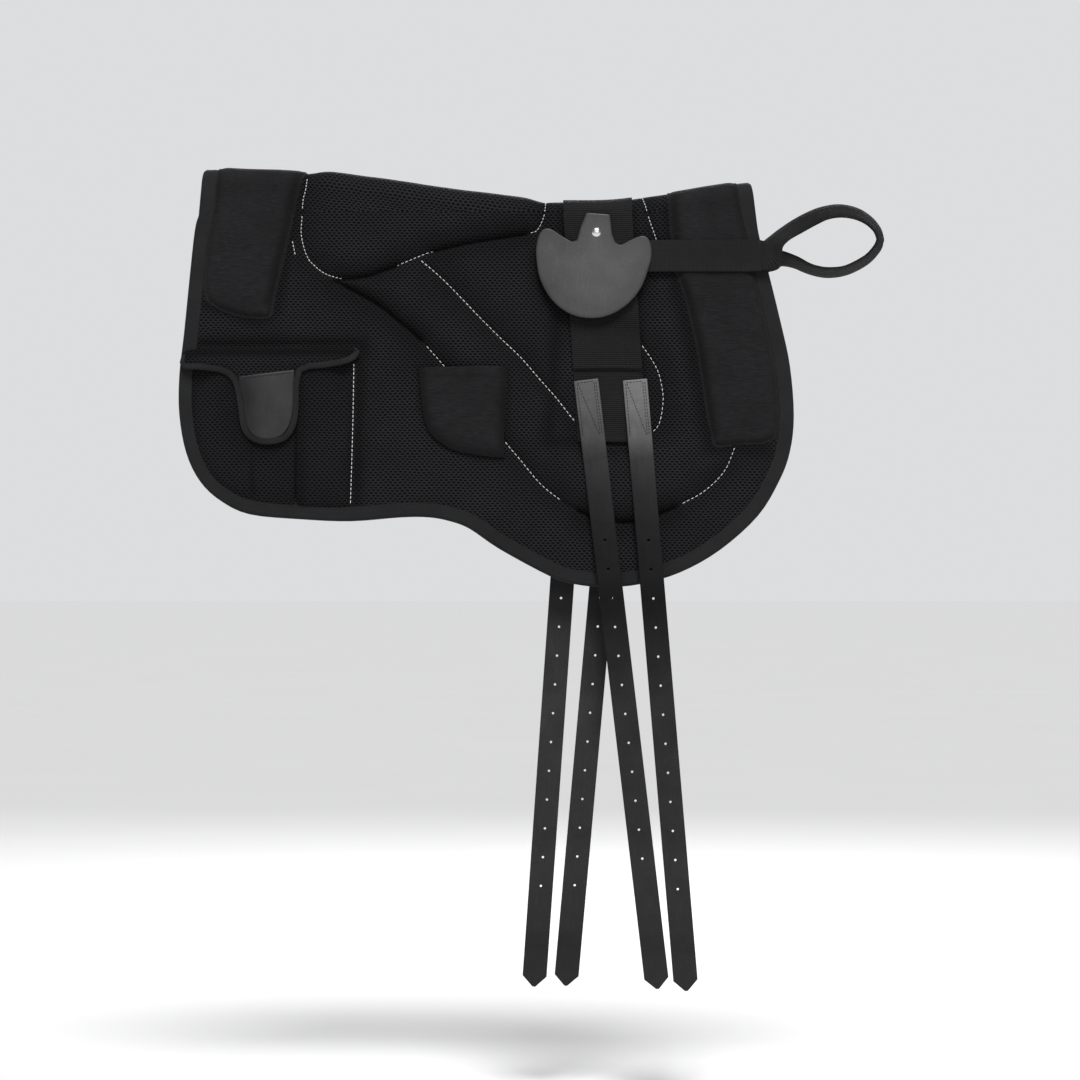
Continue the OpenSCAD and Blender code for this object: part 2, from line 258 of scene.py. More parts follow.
# Painted shade on the mesh, as line, amount and half width: darker along the seams and creases and beside and
# under what is sewn on
PAINTED_SHADE_LINES = [(line, 0.45, 6.5) for line, _, _ in SEAMS[:4]] + [(line, 0.36, 18.0) for line, _, _ in SEAMS[:4]]
PAINTED_SHADE_LINES += [(line, 0.8, 5.0) for line, _, _ in SEAMS[4:8]] + [(line, 0.56, 17.0) for line, _, _ in SEAMS[4:8]]
PAINTED_SHADE_LINES += [(np.array(line), amount, width) for line, amount, width in (
    ([(-392, -131), (-300, -130), (-214, -131), (-212, -140)], 0.55, 8.0),
    ([(-217, -146), (-219, -260), (-221, -300)], 0.6, 8.0),
    ([(-7, 6), (-7, -10), (-22, -233), (79, -233), (64, 0), (64, 6)], 0.55, 9.0),
    ([(-34, -40), (-28, -72), (-10, -95), (22, -110), (58, -96), (77, -72), (86, -42)], 0.5, 12.0),
    ([(-270, 40), (-280, 10), (-290, -40), (-303, -98), (-322, -110), (-375, -92)], 0.55, 7.0),
    ([(101, 6), (106, -59), (126, -134), (146, -239), (200, -241)], 0.55, 11.0),
    ([(-156, -157), (-152, -200), (-137, -231), (-93, -250), (-66, -250), (-64, -157)], 0.45, 5.0))]


def painted_shade(x, w, d=None):
    """How much shade is painted on the mesh: painted shade along its seams and creases, where it is also
    squeezed shut, and beside and under what is sewn on.
    """
    p = xy(x, w)
    out = np.zeros(len(p))
    for line, amount, width in PAINTED_SHADE_LINES:
        out = np.maximum(out, amount * bell(dist(p, line), width))
    return out


def edge_half(d):
    """Half of the pad's thickness at the distance d from its edge."""
    return 3.3 * rounded(d, 2.5) + 1.7 * smooth(d, 3, 26)


def relief(x, w):
    p = xy(x, w)
    out = 0.55 * ripple(x, w, 95) + 0.25 * ripple(x, w, 41, 1.3)
    near_seat = dist(p, SEAT)
    out += np.where(inside(p, SEAT), 5.4 * (1 - bell(near_seat, 15)), 0)
    out += np.where(inside(p, THIGH), 4.3 * (1 - bell(dist(p, THIGH, True), 13)), 0)
    out += np.where(inside(p, CENTRE), 2.6 * (1 - bell(dist(p, CENTRE, True), 16)), 0)
    calm = 1 - 0.75 * smooth(w - spine_h(x), 4, 16)
    for line, depth, width in SEAMS:
        out -= depth * calm * bell(dist(p, line), width)
    return out


def skin(x, w):
    """Distance of the pad's outer face from the mid plane."""
    x, w = np.asarray(x, float), np.asarray(w, float)
    d = dist(xy(x, w), EDGE)
    return MID + edge_half(d) + relief(x, w) * smooth(d, 5, 24)


def lining(x, w):
    x, w = np.asarray(x, float), np.asarray(w, float)
    d = dist(xy(x, w), EDGE)
    return MID - edge_half(d) + 0.35 * ripple(x, w, 120, 2.0) * smooth(d, 8, 30)


# ---------- mesh tools ----------

def finish_mesh(name, points, faces, cloth=None, angle=42, materials=(), dark=None):
    mesh = bpy.data.meshes.new(name)
    mesh.from_pydata([tuple(p) for p in points], [], [tuple(int(i) for i in f) for f in faces])
    if cloth is not None:
        layer = mesh.attributes.new("cloth", "FLOAT_VECTOR", "POINT")
        layer.data.foreach_set("vector", np.asarray(cloth, np.float32).ravel())
    if dark is not None:
        mesh.attributes.new("dark", "FLOAT", "POINT").data.foreach_set("value", np.asarray(dark, np.float32))
    for m in materials:
        mesh.materials.append(m)
    mesh.polygons.foreach_set("use_smooth", [True] * len(mesh.polygons))
    mesh.update()
    mesh.set_sharp_from_angle(angle=math.radians(angle))
    obj = bpy.data.objects.new(name, mesh)
    bpy.context.collection.objects.link(obj)
    return obj


def triangulate(outline, holes, extra):
    """Triangles over a flat area with holes. Returns points and faces."""
    loops = [outline, *holes]
    pts, edges = [], []
    for loop in loops:
        n = len(pts)
        pts += [tuple(p) for p in loop]
        edges += [(n + i, n + (i + 1) % len(loop)) for i in range(len(loop))]
    pts += [tuple(p) for p in extra]
    got = delaunay_2d_cdt([Vector(p) for p in pts], edges, [], 0, 1e-5, False)
    p = np.array([tuple(v) for v in got[0]])
    f = np.array([t for t in got[2] if len(t) == 3], int)
    mid = p[f].mean(1)
    keep = inside(mid, outline)
    for h in holes:
        keep &= ~inside(mid, h)
    f = f[keep]
    a, b, c = p[f[:, 0]], p[f[:, 1]], p[f[:, 2]]
    area = (b[:, 0] - a[:, 0]) * (c[:, 1] - a[:, 1]) - (b[:, 1] - a[:, 1]) * (c[:, 0] - a[:, 0])
    f = f[np.abs(area) > 1e-6]
    area = area[np.abs(area) > 1e-6]
    f[area < 0] = f[area < 0][:, ::-1]
    used = np.unique(f)
    back = np.full(len(p), -1)
    back[used] = np.arange(len(used))
    return p[used], back[f]


def panel(name, outline, top, bottom, mapper, step=3.0, rim=1.0, holes=(), edges=None, lines=(),
          cloth=None, flip=False, angle=42, materials=(), dark=None):
    """A closed piece of cloth, foam or leather over a flat outline. top and bottom give r at
    points with their distance from the edge, and mapper turns flat points and r into metres."""
    outline = walk(outline, step, True)
    loops = [outline, *holes]
    rings = [closed_ring(e) for e in loops]
    edge_lines = rings if edges is None else edges
    extra = []
    for loop in loops:
        t = np.roll(loop, -1, 0) - np.roll(loop, 1, 0)
        t /= np.maximum(np.linalg.norm(t, axis=1), 1e-9)[:, None]
        n = np.stack([-t[:, 1], t[:, 0]], 1)
        test = inside(loop + n * 0.05, loop)
        n[~test] *= -1
        if loop is not outline:
            n = -n
        for d in (0.1, 0.35, 0.7, 1.0, 1.8):
            q = loop + n * d * rim
            own = np.min([dist(q, e) for e in rings], 0)
            q = q[(own > 0.9 * d * rim) & inside(q, outline)]
            extra.append(q)
    rims = np.vstack(extra)
    seam = []
    for line, width in lines:
        p, t = even(line, min(step * 0.75, 2.4))
        n = np.stack([-t[:, 1], t[:, 0]], 1)
        for o in (-1.9, -0.9, 0, 0.9, 1.9):
            q = p + n * o * width
            seam.append(q[inside(q, outline)])
    lo, hi = outline.min(0), outline.max(0)
    gx = np.arange(lo[0], hi[0], step)
    gy = np.arange(lo[1], hi[1], step * 0.866)
    grid = np.array([(x + (step / 2 if j % 2 else 0), y) for j, y in enumerate(gy) for x in gx])
    grid = grid[inside(grid, outline)]
    own = np.min([dist(grid, e) for e in rings], 0)
    ok = own > rim * 1.8 + step * 0.35
    for h in holes:
        ok &= ~inside(grid, h)
    for line, width in lines:
        ok &= dist(grid, line) > 1.9 * width + step * 0.4
    extra = [rims, *seam, grid[ok]]
    p, f = triangulate(outline, list(holes), np.vstack(extra))
    d = np.min([dist(p, e) for e in edge_lines], 0)
    rt, rb = top(*p.T, d), bottom(*p.T, d)
    e_dir = np.vstack([f[:, [0, 1]], f[:, [1, 2]], f[:, [2, 0]]])
    _, first, count = np.unique(np.sort(e_dir, 1), axis=0, return_index=True, return_counts=True)
    border = e_dir[first[count == 1]]
    rim_pts = np.unique(border)
    n = len(p)
    low = np.arange(n) + n
    joined = rim_pts[np.abs(rt[rim_pts] - rb[rim_pts]) < 0.02]
    low[joined] = joined
    faces = [tuple(t) for t in f] + [(low[t[0]], low[t[2]], low[t[1]]) for t in f]
    for a, b in border:
        q = [b, a, low[a], low[b]]
        q = [v for i, v in enumerate(q) if v != q[i - 1]]
        if len(set(q)) >= 3:
            faces.append(tuple(q))
    xyz = np.vstack([mapper(*p.T, rt), mapper(*p.T, rb)])
    uv = p if cloth is None else cloth(*p.T)
    c = np.vstack([np.column_stack([uv, rt]), np.column_stack([uv, rb])]) / 1000
    used = np.unique(np.concatenate([np.array(t) for t in faces]))
    back = np.full(2 * n, -1)
    back[used] = np.arange(len(used))
    faces = [tuple(back[list(t)]) for t in faces]
    if flip:
        faces = [t[::-1] for t in faces]
    # Painted shade, put on the lower face too at 0.3 of its strength
    if dark is not None:
        dark = dark(*p.T, d)
        dark = np.concatenate([dark, 0.3 * dark])[used]
    obj = finish_mesh(name, xyz[used], faces, c[used], angle, materials, dark)
    if len(materials) > 1:
        lower = np.arange(len(faces))
        lower = (lower >= len(f)) & (lower < 2 * len(f))
        obj.data.polygons.foreach_set("material_index", lower.astype(np.int32))
    return obj


def tube(n, m):
    """The faces of a closed tube of n rings with m points each."""
    faces = [(i * m + j, i * m + (j + 1) % m, (i + 1) * m + (j + 1) % m, (i + 1) * m + j)
             for i in range(n - 1) for j in range(m)]
    return faces + [tuple(range(m))[::-1], tuple((n - 1) * m + j for j in range(m))]


def sweep(name, path, section, mapper, normals=None, angle=50, materials=(), flip=False):
    """A closed section of (inward distance, r) carried along a flat path. section may be a
    function of the step's number."""
    p = np.array(path, float)
    if normals is None:
        normals = across(p)
    run = np.concatenate([[0], np.cumsum(np.linalg.norm(np.diff(p, axis=0), axis=1))])
    xyz, cloth = [], []
    for i in range(len(p)):
        sec = np.array(section(i) if callable(section) else section, float)
        q = p[i] + normals[i] * sec[:, :1]
        xyz.append(mapper(*q.T, sec[:, 1]))
        lap = np.concatenate([[0], np.cumsum(np.linalg.norm(np.diff(sec, axis=0), axis=1))])
        cloth.append(np.column_stack([lap, np.full(len(sec), run[i]), sec[:, 1]]) / 1000)
    faces = tube(len(p), len(xyz[0]))
    if flip:
        faces = [f[::-1] for f in faces]
    return finish_mesh(name, np.vstack(xyz), faces, np.vstack(cloth), angle, materials)


def stitches(name, runs, mapper, surface, material):
    """Runs of thread: each is line, pitch, length, width and how far it stands up."""
    ring_u = np.array([-1, -0.86, -0.5, 0.5, 0.86, 1])
    ring_s = np.array([0.25, 0.75, 1, 1, 0.75, 0.25])
    ring_h = np.array([-0.9, -0.35, 0, 0, -0.35, -0.9])
    ang = angles(8)
    one = tube(len(ring_u), len(ang))
    xyz, faces, n = [], [], 0
    for line, pitch, length, width, lift in runs:
        c, t = even(line, pitch)
        if not len(c):
            continue
        r = surface(*c.T)
        for (cx, cw), (tx, tw), rr in zip(c, t, r):
            u = np.repeat(ring_u * length / 2, 8)
            v = np.outer(ring_s, np.cos(ang)).ravel() * width / 2
            h = np.outer(ring_s, np.sin(ang)).ravel() * width / 2 * 0.8 + np.repeat(ring_h, 8) * width / 2
            xyz.append(np.stack([cx + u * tx - v * tw, cw + u * tw + v * tx, rr + lift + h], 1))
            faces += [tuple(n + v for v in f) for f in one]
            n += len(u)
    q = np.vstack(xyz)
    p = mapper(*q.T)
    a, b, c = p[faces[0][0]], p[faces[0][1]], p[faces[0][2]]
    centre = p[:len(ring_u) * len(ang)].mean(0)
    if np.dot(np.cross(b - a, c - a), a - centre) < 0:
        faces = [f[::-1] for f in faces]
    return finish_mesh(name, p, faces, q / 1000, 60, [material])


# ---------- materials ----------

class Shader:
    """A short way to write node materials."""

    def __init__(self, name, **sockets):
        self.mat = bpy.data.materials.new(name)
        self.mat.use_nodes = True
        self.tree = self.mat.node_tree
        self.tree.nodes.clear()
        self.out = self.tree.nodes.new("ShaderNodeOutputMaterial")
        self.bsdf = self.tree.nodes.new("ShaderNodeBsdfPrincipled")
        self.tree.links.new(self.bsdf.outputs[0], self.out.inputs[0])
        for key, value in sockets.items():
            self.bsdf.inputs[key.replace("_", " ")].default_value = value

    def node(self, kind, *inputs, out=0, **props):
        n = self.tree.nodes.new("ShaderNode" + kind)
        for key, value in props.items():
            setattr(n, key, value)
        for i, value in enumerate(inputs):
            if value is None:
                continue
            if isinstance(value, bpy.types.NodeSocket):
                self.tree.links.new(value, n.inputs[i])
            else:
                n.inputs[i].default_value = value
        return n.outputs[out]

    def m(self, op, *a, clamp=False):
        return self.node("Math", *a, operation=op, use_clamp=clamp)

    def cloth(self):
        return self.node("Attribute", attribute_name="cloth", out=1)

    def parts(self, vector):
        n = self.tree.nodes.new("ShaderNodeSeparateXYZ")
        self.tree.links.new(vector, n.inputs[0])
        return n.outputs

    def scaled(self, vector, x, y, z=1.0):
        return self.node("VectorMath", vector, (x, y, z), operation="MULTIPLY")

    def noise(self, vector, scale, detail=2.0, rough=0.5, distort=0.0):
        n = self.tree.nodes.new("ShaderNodeTexNoise")
        self.tree.links.new(vector, n.inputs["Vector"])
        n.inputs["Scale"].default_value = scale
        n.inputs["Detail"].default_value = detail
        n.inputs["Roughness"].default_value = rough
        n.inputs["Distortion"].default_value = distort
        return n.outputs[0]

    def ramp(self, value, stops):
        n = self.tree.nodes.new("ShaderNodeValToRGB")
        self.tree.links.new(value, n.inputs[0])
        e = n.color_ramp.elements
        while len(e) < len(stops):
            e.new(0.5)
        for el, (pos, col) in zip(e, stops):
            el.position = pos
            el.color = (*col, 1)
        return n.outputs[0]

    def span(self, value, a, b, c, d):
        return self.node("MapRange", value, a, b, c, d)

    def vary(self, noise, low, high):
        """A noise as a factor between low and high."""
        return self.span(noise, 0.3, 0.7, low, high)

    def tinted(self, colour, *values):
        """The base colour is this colour times the values, and less where the piece is darkened by its "dark"
        attribute, which holds painted shade, and on the shield also its darker edge."""
        value = self.m("SUBTRACT", 1.0, self.node("Attribute", attribute_name="dark", out=2))
        for v in values:
            value = self.m("MULTIPLY", value, v)
        mix = self.node("VectorMath", colour, None, operation="SCALE")
        self.tree.links.new(value, mix.node.inputs["Scale"])
        self.colour(mix)

    def weighed(self, *pairs):
        """The sum of each value times its weight."""
        total = self.m("MULTIPLY", *pairs[0])
        for value, weight in pairs[1:]:
            total = self.m("ADD", total, self.m("MULTIPLY", value, weight))
        return total

    def colour(self, socket):
        self.tree.links.new(socket, self.bsdf.inputs["Base Color"])

    def rough(self, socket):
        self.tree.links.new(socket, self.bsdf.inputs["Roughness"])

    def bump(self, height, distance, strength=1.0):
        n = self.tree.nodes.new("ShaderNodeBump")
        n.inputs["Strength"].default_value = strength
        n.inputs["Distance"].default_value = distance
        self.tree.links.new(height, n.inputs["Height"])
        self.tree.links.new(n.outputs[0], self.bsdf.inputs["Normal"])


def grey(v, tint=(1, 1, 1)):
    return tuple(v * t for t in tint)


def air_mesh(name, tone, pitch=5.0, row=2.7, tint=(0.96, 0.95, 1.13)):
    """Spacer mesh: staggered oval holes between rounded yarn bridges."""
    s = Shader(name, Roughness=0.82, Specular_IOR_Level=0.08, Sheen_Weight=0.02, Sheen_Roughness=0.6)
    c = s.cloth()
    wob = s.noise(c, 55, 1)
    wobble = s.m("MULTIPLY", s.m("SUBTRACT", wob, 0.5), 0.5)
    sep = s.parts(c)
    u = s.m("ADD", s.m("MULTIPLY", sep[0], 1000 / pitch), wobble)
    v = s.m("ADD", s.m("MULTIPLY", sep[1], 1000 / (2 * row)), wobble)

    def oval(du, dv):
        a = s.m("SUBTRACT", s.m("FRACT", s.m("ADD", u, du)), 0.5)
        b = s.m("SUBTRACT", s.m("FRACT", s.m("ADD", v, dv)), 0.5)
        a = s.m("MULTIPLY", a, pitch / 1.7)
        b = s.m("MULTIPLY", b, 2 * row)
        return s.m("SQRT", s.m("ADD", s.m("MULTIPLY", a, a), s.m("MULTIPLY", b, b)))
    near = s.m("MINIMUM", oval(0, 0), oval(0.5, 0.5))
    solid = s.node("MapRange", near, 0.78, 1.3, 0.0, 1.0, interpolation_type="SMOOTHSTEP")
    yarn = s.noise(c, 2300, 1)
    broad = s.noise(c, 22, 3)
    s.tinted(grey(tone, tint), s.span(solid, 0, 1, 0.02, 1.0), s.vary(broad, 0.85, 1.15),
             s.vary(yarn, 0.75, 1.25))
    s.bump(s.weighed((solid, 1), (yarn, 0.12)), 0.0009, 0.9)
    return s.mat


def canvas(name, tone, tint=(0.99, 0.97, 1.08)):
    """Close plain weave with a light slub."""
    s = Shader(name, Roughness=0.8, Specular_IOR_Level=0.12, Sheen_Weight=0.06, Sheen_Roughness=0.5)
    c = s.cloth()
    sep = s.parts(c)
    warp = s.m("SINE", s.m("MULTIPLY", sep[0], 2 * math.pi * 1000 / 0.9))
    weft = s.m("SINE", s.m("MULTIPLY", sep[1], 2 * math.pi * 1000 / 1.1))
    weave = s.m("MULTIPLY", warp, weft)
    slub = s.noise(s.scaled(c, 1, 7), 120, 3)
    slub2 = s.noise(s.scaled(c, 6, 1), 90, 2)
    broad = s.noise(c, 26, 3)
    s.tinted(grey(tone, tint), s.vary(slub, 0.66, 1.34), s.vary(broad, 0.82, 1.18),
             s.span(weave, -1, 1, 0.8, 1.15), s.vary(slub2, 0.92, 1.08))
    s.bump(s.weighed((weave, 0.22), (slub, 1), (broad, 1.4)), 0.0007, 0.8)
    return s.mat


def webbing(name, tone, rib=1.45, tint=(1.05, 1.0, 0.985)):
    """Woven strap: close ribs across it and rows of herringbone along it."""
    s = Shader(name, Roughness=0.8, Specular_IOR_Level=0.12, Sheen_Weight=0.05, Sheen_Roughness=0.5)
    c = s.cloth()
    sep = s.parts(c)
    columns = s.m("MULTIPLY", sep[0], 1000 / 2.6)
    tri = s.m("PINGPONG", columns, 1.0)
    rows = s.m("SINE", s.m("MULTIPLY", s.m("ADD", s.m("MULTIPLY", sep[1], 1000 / rib),
                                          s.m("MULTIPLY", tri, 0.22)), 2 * math.pi))
    cols = s.m("SINE", s.m("MULTIPLY", columns, math.pi))
    fuzz = s.noise(c, 900, 2)
    broad = s.noise(c, 30, 3)
    s.tinted(grey(tone, tint), s.span(rows, -1, 1, 0.7, 1.18), s.vary(broad, 0.85, 1.15),
             s.vary(fuzz, 0.85, 1.15))
    s.bump(s.weighed((rows, 0.5), (cols, 0.12), (fuzz, 0.3)), 0.0006, 0.8)
    return s.mat


def leather(name, tone, rough, grain=1.0, spec=0.3, along=None):
    """Fine grained leather with soft wear and a dull polish. along gives its tone at places along it, which
    paints highlight and shade along the piece.
    """
    s = Shader(name, Roughness=rough, Specular_IOR_Level=spec, Coat_Weight=0.04, Coat_Roughness=0.35)
    c = s.cloth()
    pores = s.tree.nodes.new("ShaderNodeTexVoronoi")
    s.tree.links.new(c, pores.inputs["Vector"])
    pores.inputs["Scale"].default_value = 1100
    pores.feature = "SMOOTH_F1"
    cell = pores.outputs[0]
    fine = s.noise(c, 700, 3, 0.6)
    broad = s.noise(c, 24, 4, 0.6)
    scuff = s.noise(s.scaled(c, 1, 0.12), 420, 4, 0.65)
    values = [s.vary(broad, 0.8, 1.2), s.vary(fine, 0.9, 1.1), s.span(scuff, 0.55, 0.75, 1.0, 1.25)]
    if along:
        low, high = along[0][0], along[-1][0]
        at = s.span(s.parts(c)[1], low, high, 0, 1)
        values.append(s.ramp(at, [((v - low) / (high - low), grey(g)) for v, g in along]))
    s.tinted(grey(tone, (1.0, 1.0, 1.01)), *values)
    s.rough(s.m("ADD", s.vary(broad, rough - 0.06, rough + 0.06), s.span(scuff, 0.55, 0.75, 0, 0.08)))
    s.bump(s.weighed((cell, 0.5 * grain), (fine, 0.35), (broad, 1.2)), 0.00035, 0.55)
    return s.mat


def thread(name, tone):
    s = Shader(name, Roughness=0.7, Specular_IOR_Level=0.3, Sheen_Weight=0.1)
    c = s.cloth()
    twist = s.m("SINE", s.node("VectorMath", c, (5200, 5200, 0), operation="DOT_PRODUCT", out=1))
    s.tinted(grey(tone, (1.0, 0.98, 0.94)), s.span(twist, -1, 1, 0.78, 1.08))
    s.bump(twist, 0.0002, 0.5)
    return s.mat


def steel(name):
    s = Shader(name, Metallic=1.0, Roughness=0.25)
    s.bsdf.inputs["Base Color"].default_value = (0.82, 0.81, 0.79, 1)
    p = s.node("NewGeometry", out=0)
    n = s.noise(p, 900, 3)
    s.rough(s.vary(n, 0.18, 0.36))
    s.bump(n, 0.0001, 0.3)
    return s.mat


MESH = air_mesh("air_mesh", 0.0170)
FLAP_MESH = air_mesh("flap_mesh", 0.0138)
CANVAS = canvas("canvas", 0.0112)
SMALL_CANVAS = canvas("pocket_canvas", 0.0110)
WEB = webbing("girth_webbing", 0.0103, 2.1)
STRAP = webbing("handle_webbing", 0.0145, 1.3)
TAPE = webbing("edge_tape", 0.0180, 1.0, (1, 1, 1.06))
SHIELD = leather("shield_leather", 0.057, 0.46, spec=0.4)
# Painted highlight and shade along a billet: tones from its tip to its sewn end, on the grain side and the
# flesh side, lightest at the painted highlight on the sewn end
BILLET_PAINTED_LIGHT = [(-0.57, 0.019), (-0.42, 0.023), (-0.26, 0.018), (-0.165, 0.004), (-0.1, 0.009), (-0.05, 0.018),
        (-0.02, 0.032), (0.004, 0.09), (0.062, 0.14)]
FLESH_PAINTED_LIGHT = [(-0.57, 0.016), (-0.42, 0.024), (-0.27, 0.027), (-0.2, 0.024), (-0.1, 0.012), (0.062, 0.02)]
BILLET = leather("billet_leather", 1.0, 0.42, 0.7, 0.10, BILLET_PAINTED_LIGHT)
FLESH = leather("billet_flesh", 1.0, 0.6, 1.2, 0.10, FLESH_PAINTED_LIGHT)
TONGUE = leather("tongue_leather", 0.029, 0.42, spec=0.22)
WHITE = thread("white_thread", 0.75)
BLACK = thread("black_thread", 0.010)
STEEL = steel("rivet_steel")


# ---------- the spine strip ----------

join_x = np.linspace(rear_x(JOIN), front_x(JOIN), 196)


def end_line(edge_x, n=26, start=40.0):
    """A line over the spine strip as x and q, from the right side to the left. edge_x gives its x
    at a height, start is a guess at its height on top."""
    top = top_w(edge_x(start))
    top = top_w(edge_x(top))
    w = np.linspace(JOIN, top, n)
    x = edge_x(w)
    q = top_w(x) - w
    q[-1] = 0
    return np.vstack([xy(x, q), xy(x, -q)[::-1][1:]])


def strip_outline(xs, rear, front):
    """The outline of a piece over the spine between two end lines."""
    right = xy(xs, top_w(xs) - JOIN)
    left = (right * (1, -1))[::-1]
    return np.vstack([right[:-1], front[:-1], left[:-1], rear[::-1][:-1]])


def on_spine(obj, slot, *nodes):
    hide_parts(*nodes)
    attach(obj, "spine")
    return obj


def on_strip(fn):
    return lambda x, q, d: fn(x, strip_w(x, q))


def strip_cloth(x, q):
    return xy(x, -q)


def both(line):
    """A seam near the spine as x and q, on both sides."""
    p = np.array([v for v in line if v[1] > 2])
    q = top_w(p[:, 0]) - p[:, 1]
    right = xy(p[:, 0], q)[q > -3]
    return [right, right * (1, -1)]


strip_edges = [end_line(rear_x), end_line(front_x)]
half_seat = len(SEAT) // 2
strip_lines = [(line, 1.3) for seam in (SEAT[:half_seat], SEAT[half_seat:], FRONT)
               for line in both(seam) if len(line) > 2]
spine_pad = panel("spine_pad", strip_outline(join_x, *strip_edges), on_strip(skin), on_strip(lining), over,
                  step=2.6, rim=2.5, edges=strip_edges, lines=strip_lines, cloth=strip_cloth, flip=True,
                  materials=[MESH], dark=on_strip(painted_shade))
on_spine(spine_pad, "mesh", "spine_lining", "spine_core", "spine_cover")

TAPE_D = [14, 13.6, 11, 8, 5.5, 3.6, 2.2, 1.1, 0.4]


def tape_section():
    """A tape folded round an edge, as a closed C."""
    d, width, mid, half = np.array(TAPE_D), TAPE_WIDTH, MID, edge_half
    h = half(np.maximum(d, 0.5)) + np.where(d > 13.4, 0.15, TAPE_LIFT)
    outer = list(zip(d, mid + h))
    nose = [(-0.35, mid + half(np.array([0.9]))[0]), (-0.8, mid + half(np.array([0.3]))[0]), (-0.95, mid)]
    lower = [(x, 2 * mid - r) for x, r in (outer + nose[:-1])[::-1]]
    inner = [(width, mid - half(np.array([width]))[0] + 0.5), (1.0, mid - 1.0), (1.0, mid + 1.0),
             (width, mid + half(np.array([width]))[0] - 0.5)]
    return outer + nose + lower + inner


def end_tape(name, edge_x, inward, node):
    line = end_line(edge_x)
    n = across(line)
    if n[len(n) // 2][0] * inward < 0:
        n = -n
    on_spine(sweep(name, line, tape_section(), over, n, materials=[TAPE], flip=inward > 0), "binding", node)


end_tape("spine_front_tape", front_x, -1, "spine_binding_front")
end_tape("spine_rear_tape", rear_x, 1, "spine_binding_rear")


def crown(d, edge, height, reach):
    """Height of a stuffed patch over the cloth under it."""
    return edge + (height - edge) * rounded(d, reach)


def strip_band(name, x_of, height, node, slot, material, dark=None):
    """A piece over the spine between two lines x_of[0](w) and x_of[1](w)."""
    sides = [end_line(f, 18, 30.0) for f in x_of]
    start, end = sides[0][0][0], sides[1][0][0]
    xs = np.linspace(start, end, max(4, int(abs(start - end) / 2.5)))
    obj = panel(name, strip_outline(xs, *sides),
                lambda x, q, d: skin(x, strip_w(x, q)) + height(x, strip_w(x, q), d),
                lambda x, q, d: skin(x, strip_w(x, q)) - 0.5, over, step=2.5, rim=0.8, edges=sides,
                cloth=strip_cloth, flip=True, materials=[material], dark=dark)
    return on_spine(obj, slot, node)


def patch_height(x, w, d):
    puff = 4.3 - 2.4 * smooth(w, -25, 12)
    face = (puff - 0.3) * rounded(d - 3, 9)
    hem = 0.3 * smooth(d, 0, 0.6) + 0.8 * bell(d - 1.3, 0.9)
    return hem + face + (0.22 * ripple(x, w, 37, 0.7) + 0.1 * ripple(x * 0.3, w, 9, 1.7)) * smooth(d, 5, 14)


def patch_shade(wall, strap):
    """Painted shade in the groove inside a patch's hem, on the side wall along the line wall, and just under a
    strap that crosses the patch, as its height and amount."""
    def shade(x, w, d):
        side = dist(xy(x, w), wall)
        height, amount = strap
        return np.maximum.reduce([0.42 * bell(d - 4.2, 2.4), 0.62 * bell(side, 5.5),
                                  amount * bell(w - height, 3)])
    return shade


REAR_WALL = patch_shade([(-276, 60), (-288, 10), (-294, -20), (-301, -50), (-310, -90)], (-60, 0.0))
FRONT_WALL = patch_shade([(104, 60), (108, 0), (113, -59), (123, -87), (134, -134), (148, -225)], (-60, 0.5))


def rear_left(w):
    return -368 + 0.09 * w


def rear_right(w):
    return np.interp(w, [-20, 16, 60], [-288, -281, -270])


def front_left(w):
    return np.interp(w, [-60, -4, 60], [108, 101.5, 99])


def front_right(w):
    return front_x(w) - 13.5


for end, band, shade_of in (("rear", (rear_left, rear_right), REAR_WALL),
                            ("front", (front_left, front_right), FRONT_WALL)):
    strip_band(f"spine_{end}_canvas", band, patch_height, f"spine_patch_{end}", "canvas", CANVAS,
                         lambda x, q, d, shade_of=shade_of: shade_of(x, strip_w(x, q), d))


# The girth web's two edges, and how far down its upper layer and the web itself end
WEB_REAR, WEB_FRONT, WEB_STEP, WEB_END = -7, 64, 159, 233


def web_top(x, w, d):
    """Outer face of the girth web."""
    lower = 16.9 + 0 * x
    upper = 18.5 - 1.3 * smooth(w, -6, 16)
    step = smooth(w, -159.6, -158.6)
    return lower + (upper - lower) * step - 0.7 * (1 - rounded(d, 0.8))


def web_bottom(x, w, d):
    return np.minimum(skin(x, w) - 0.4, 15.0) + 0 * d


def spine_web_height(x, w, d):
    return web_top(x, w, d) - skin(x, w)


strip_band("spine_girth_web", (lambda w: WEB_REAR + 0 * w, lambda w: WEB_FRONT + 0 * w), spine_web_height,
           "spine_web", "webbing", WEB)


# ---------- the sides ----------

def rotate_in(b, u, v):
    """A billet's own across and along to x and w."""
    a = math.radians(b[2])
    return b[0] + u * math.cos(a) - v * math.sin(a), b[1] + u * math.sin(a) + v * math.cos(a)


# Where each billet leaves the web, its lean in degrees and its number of holes
BILLETS = {"right_rear": (23.7, -231, 6.7, 12), "right_front": (72, -231, 4.8, 13),
           "left_rear": (2.4, -231, -4, 13), "left_front": (46.4, -231, -5.1, 13)}
# A billet's half width, free and sewn lengths, and its holes' radius, first place and spacing
HALF_W, FREE, SEWN, HOLE, FIRST, PITCH = 12.5, 569, 62, 1.25, 104, 30

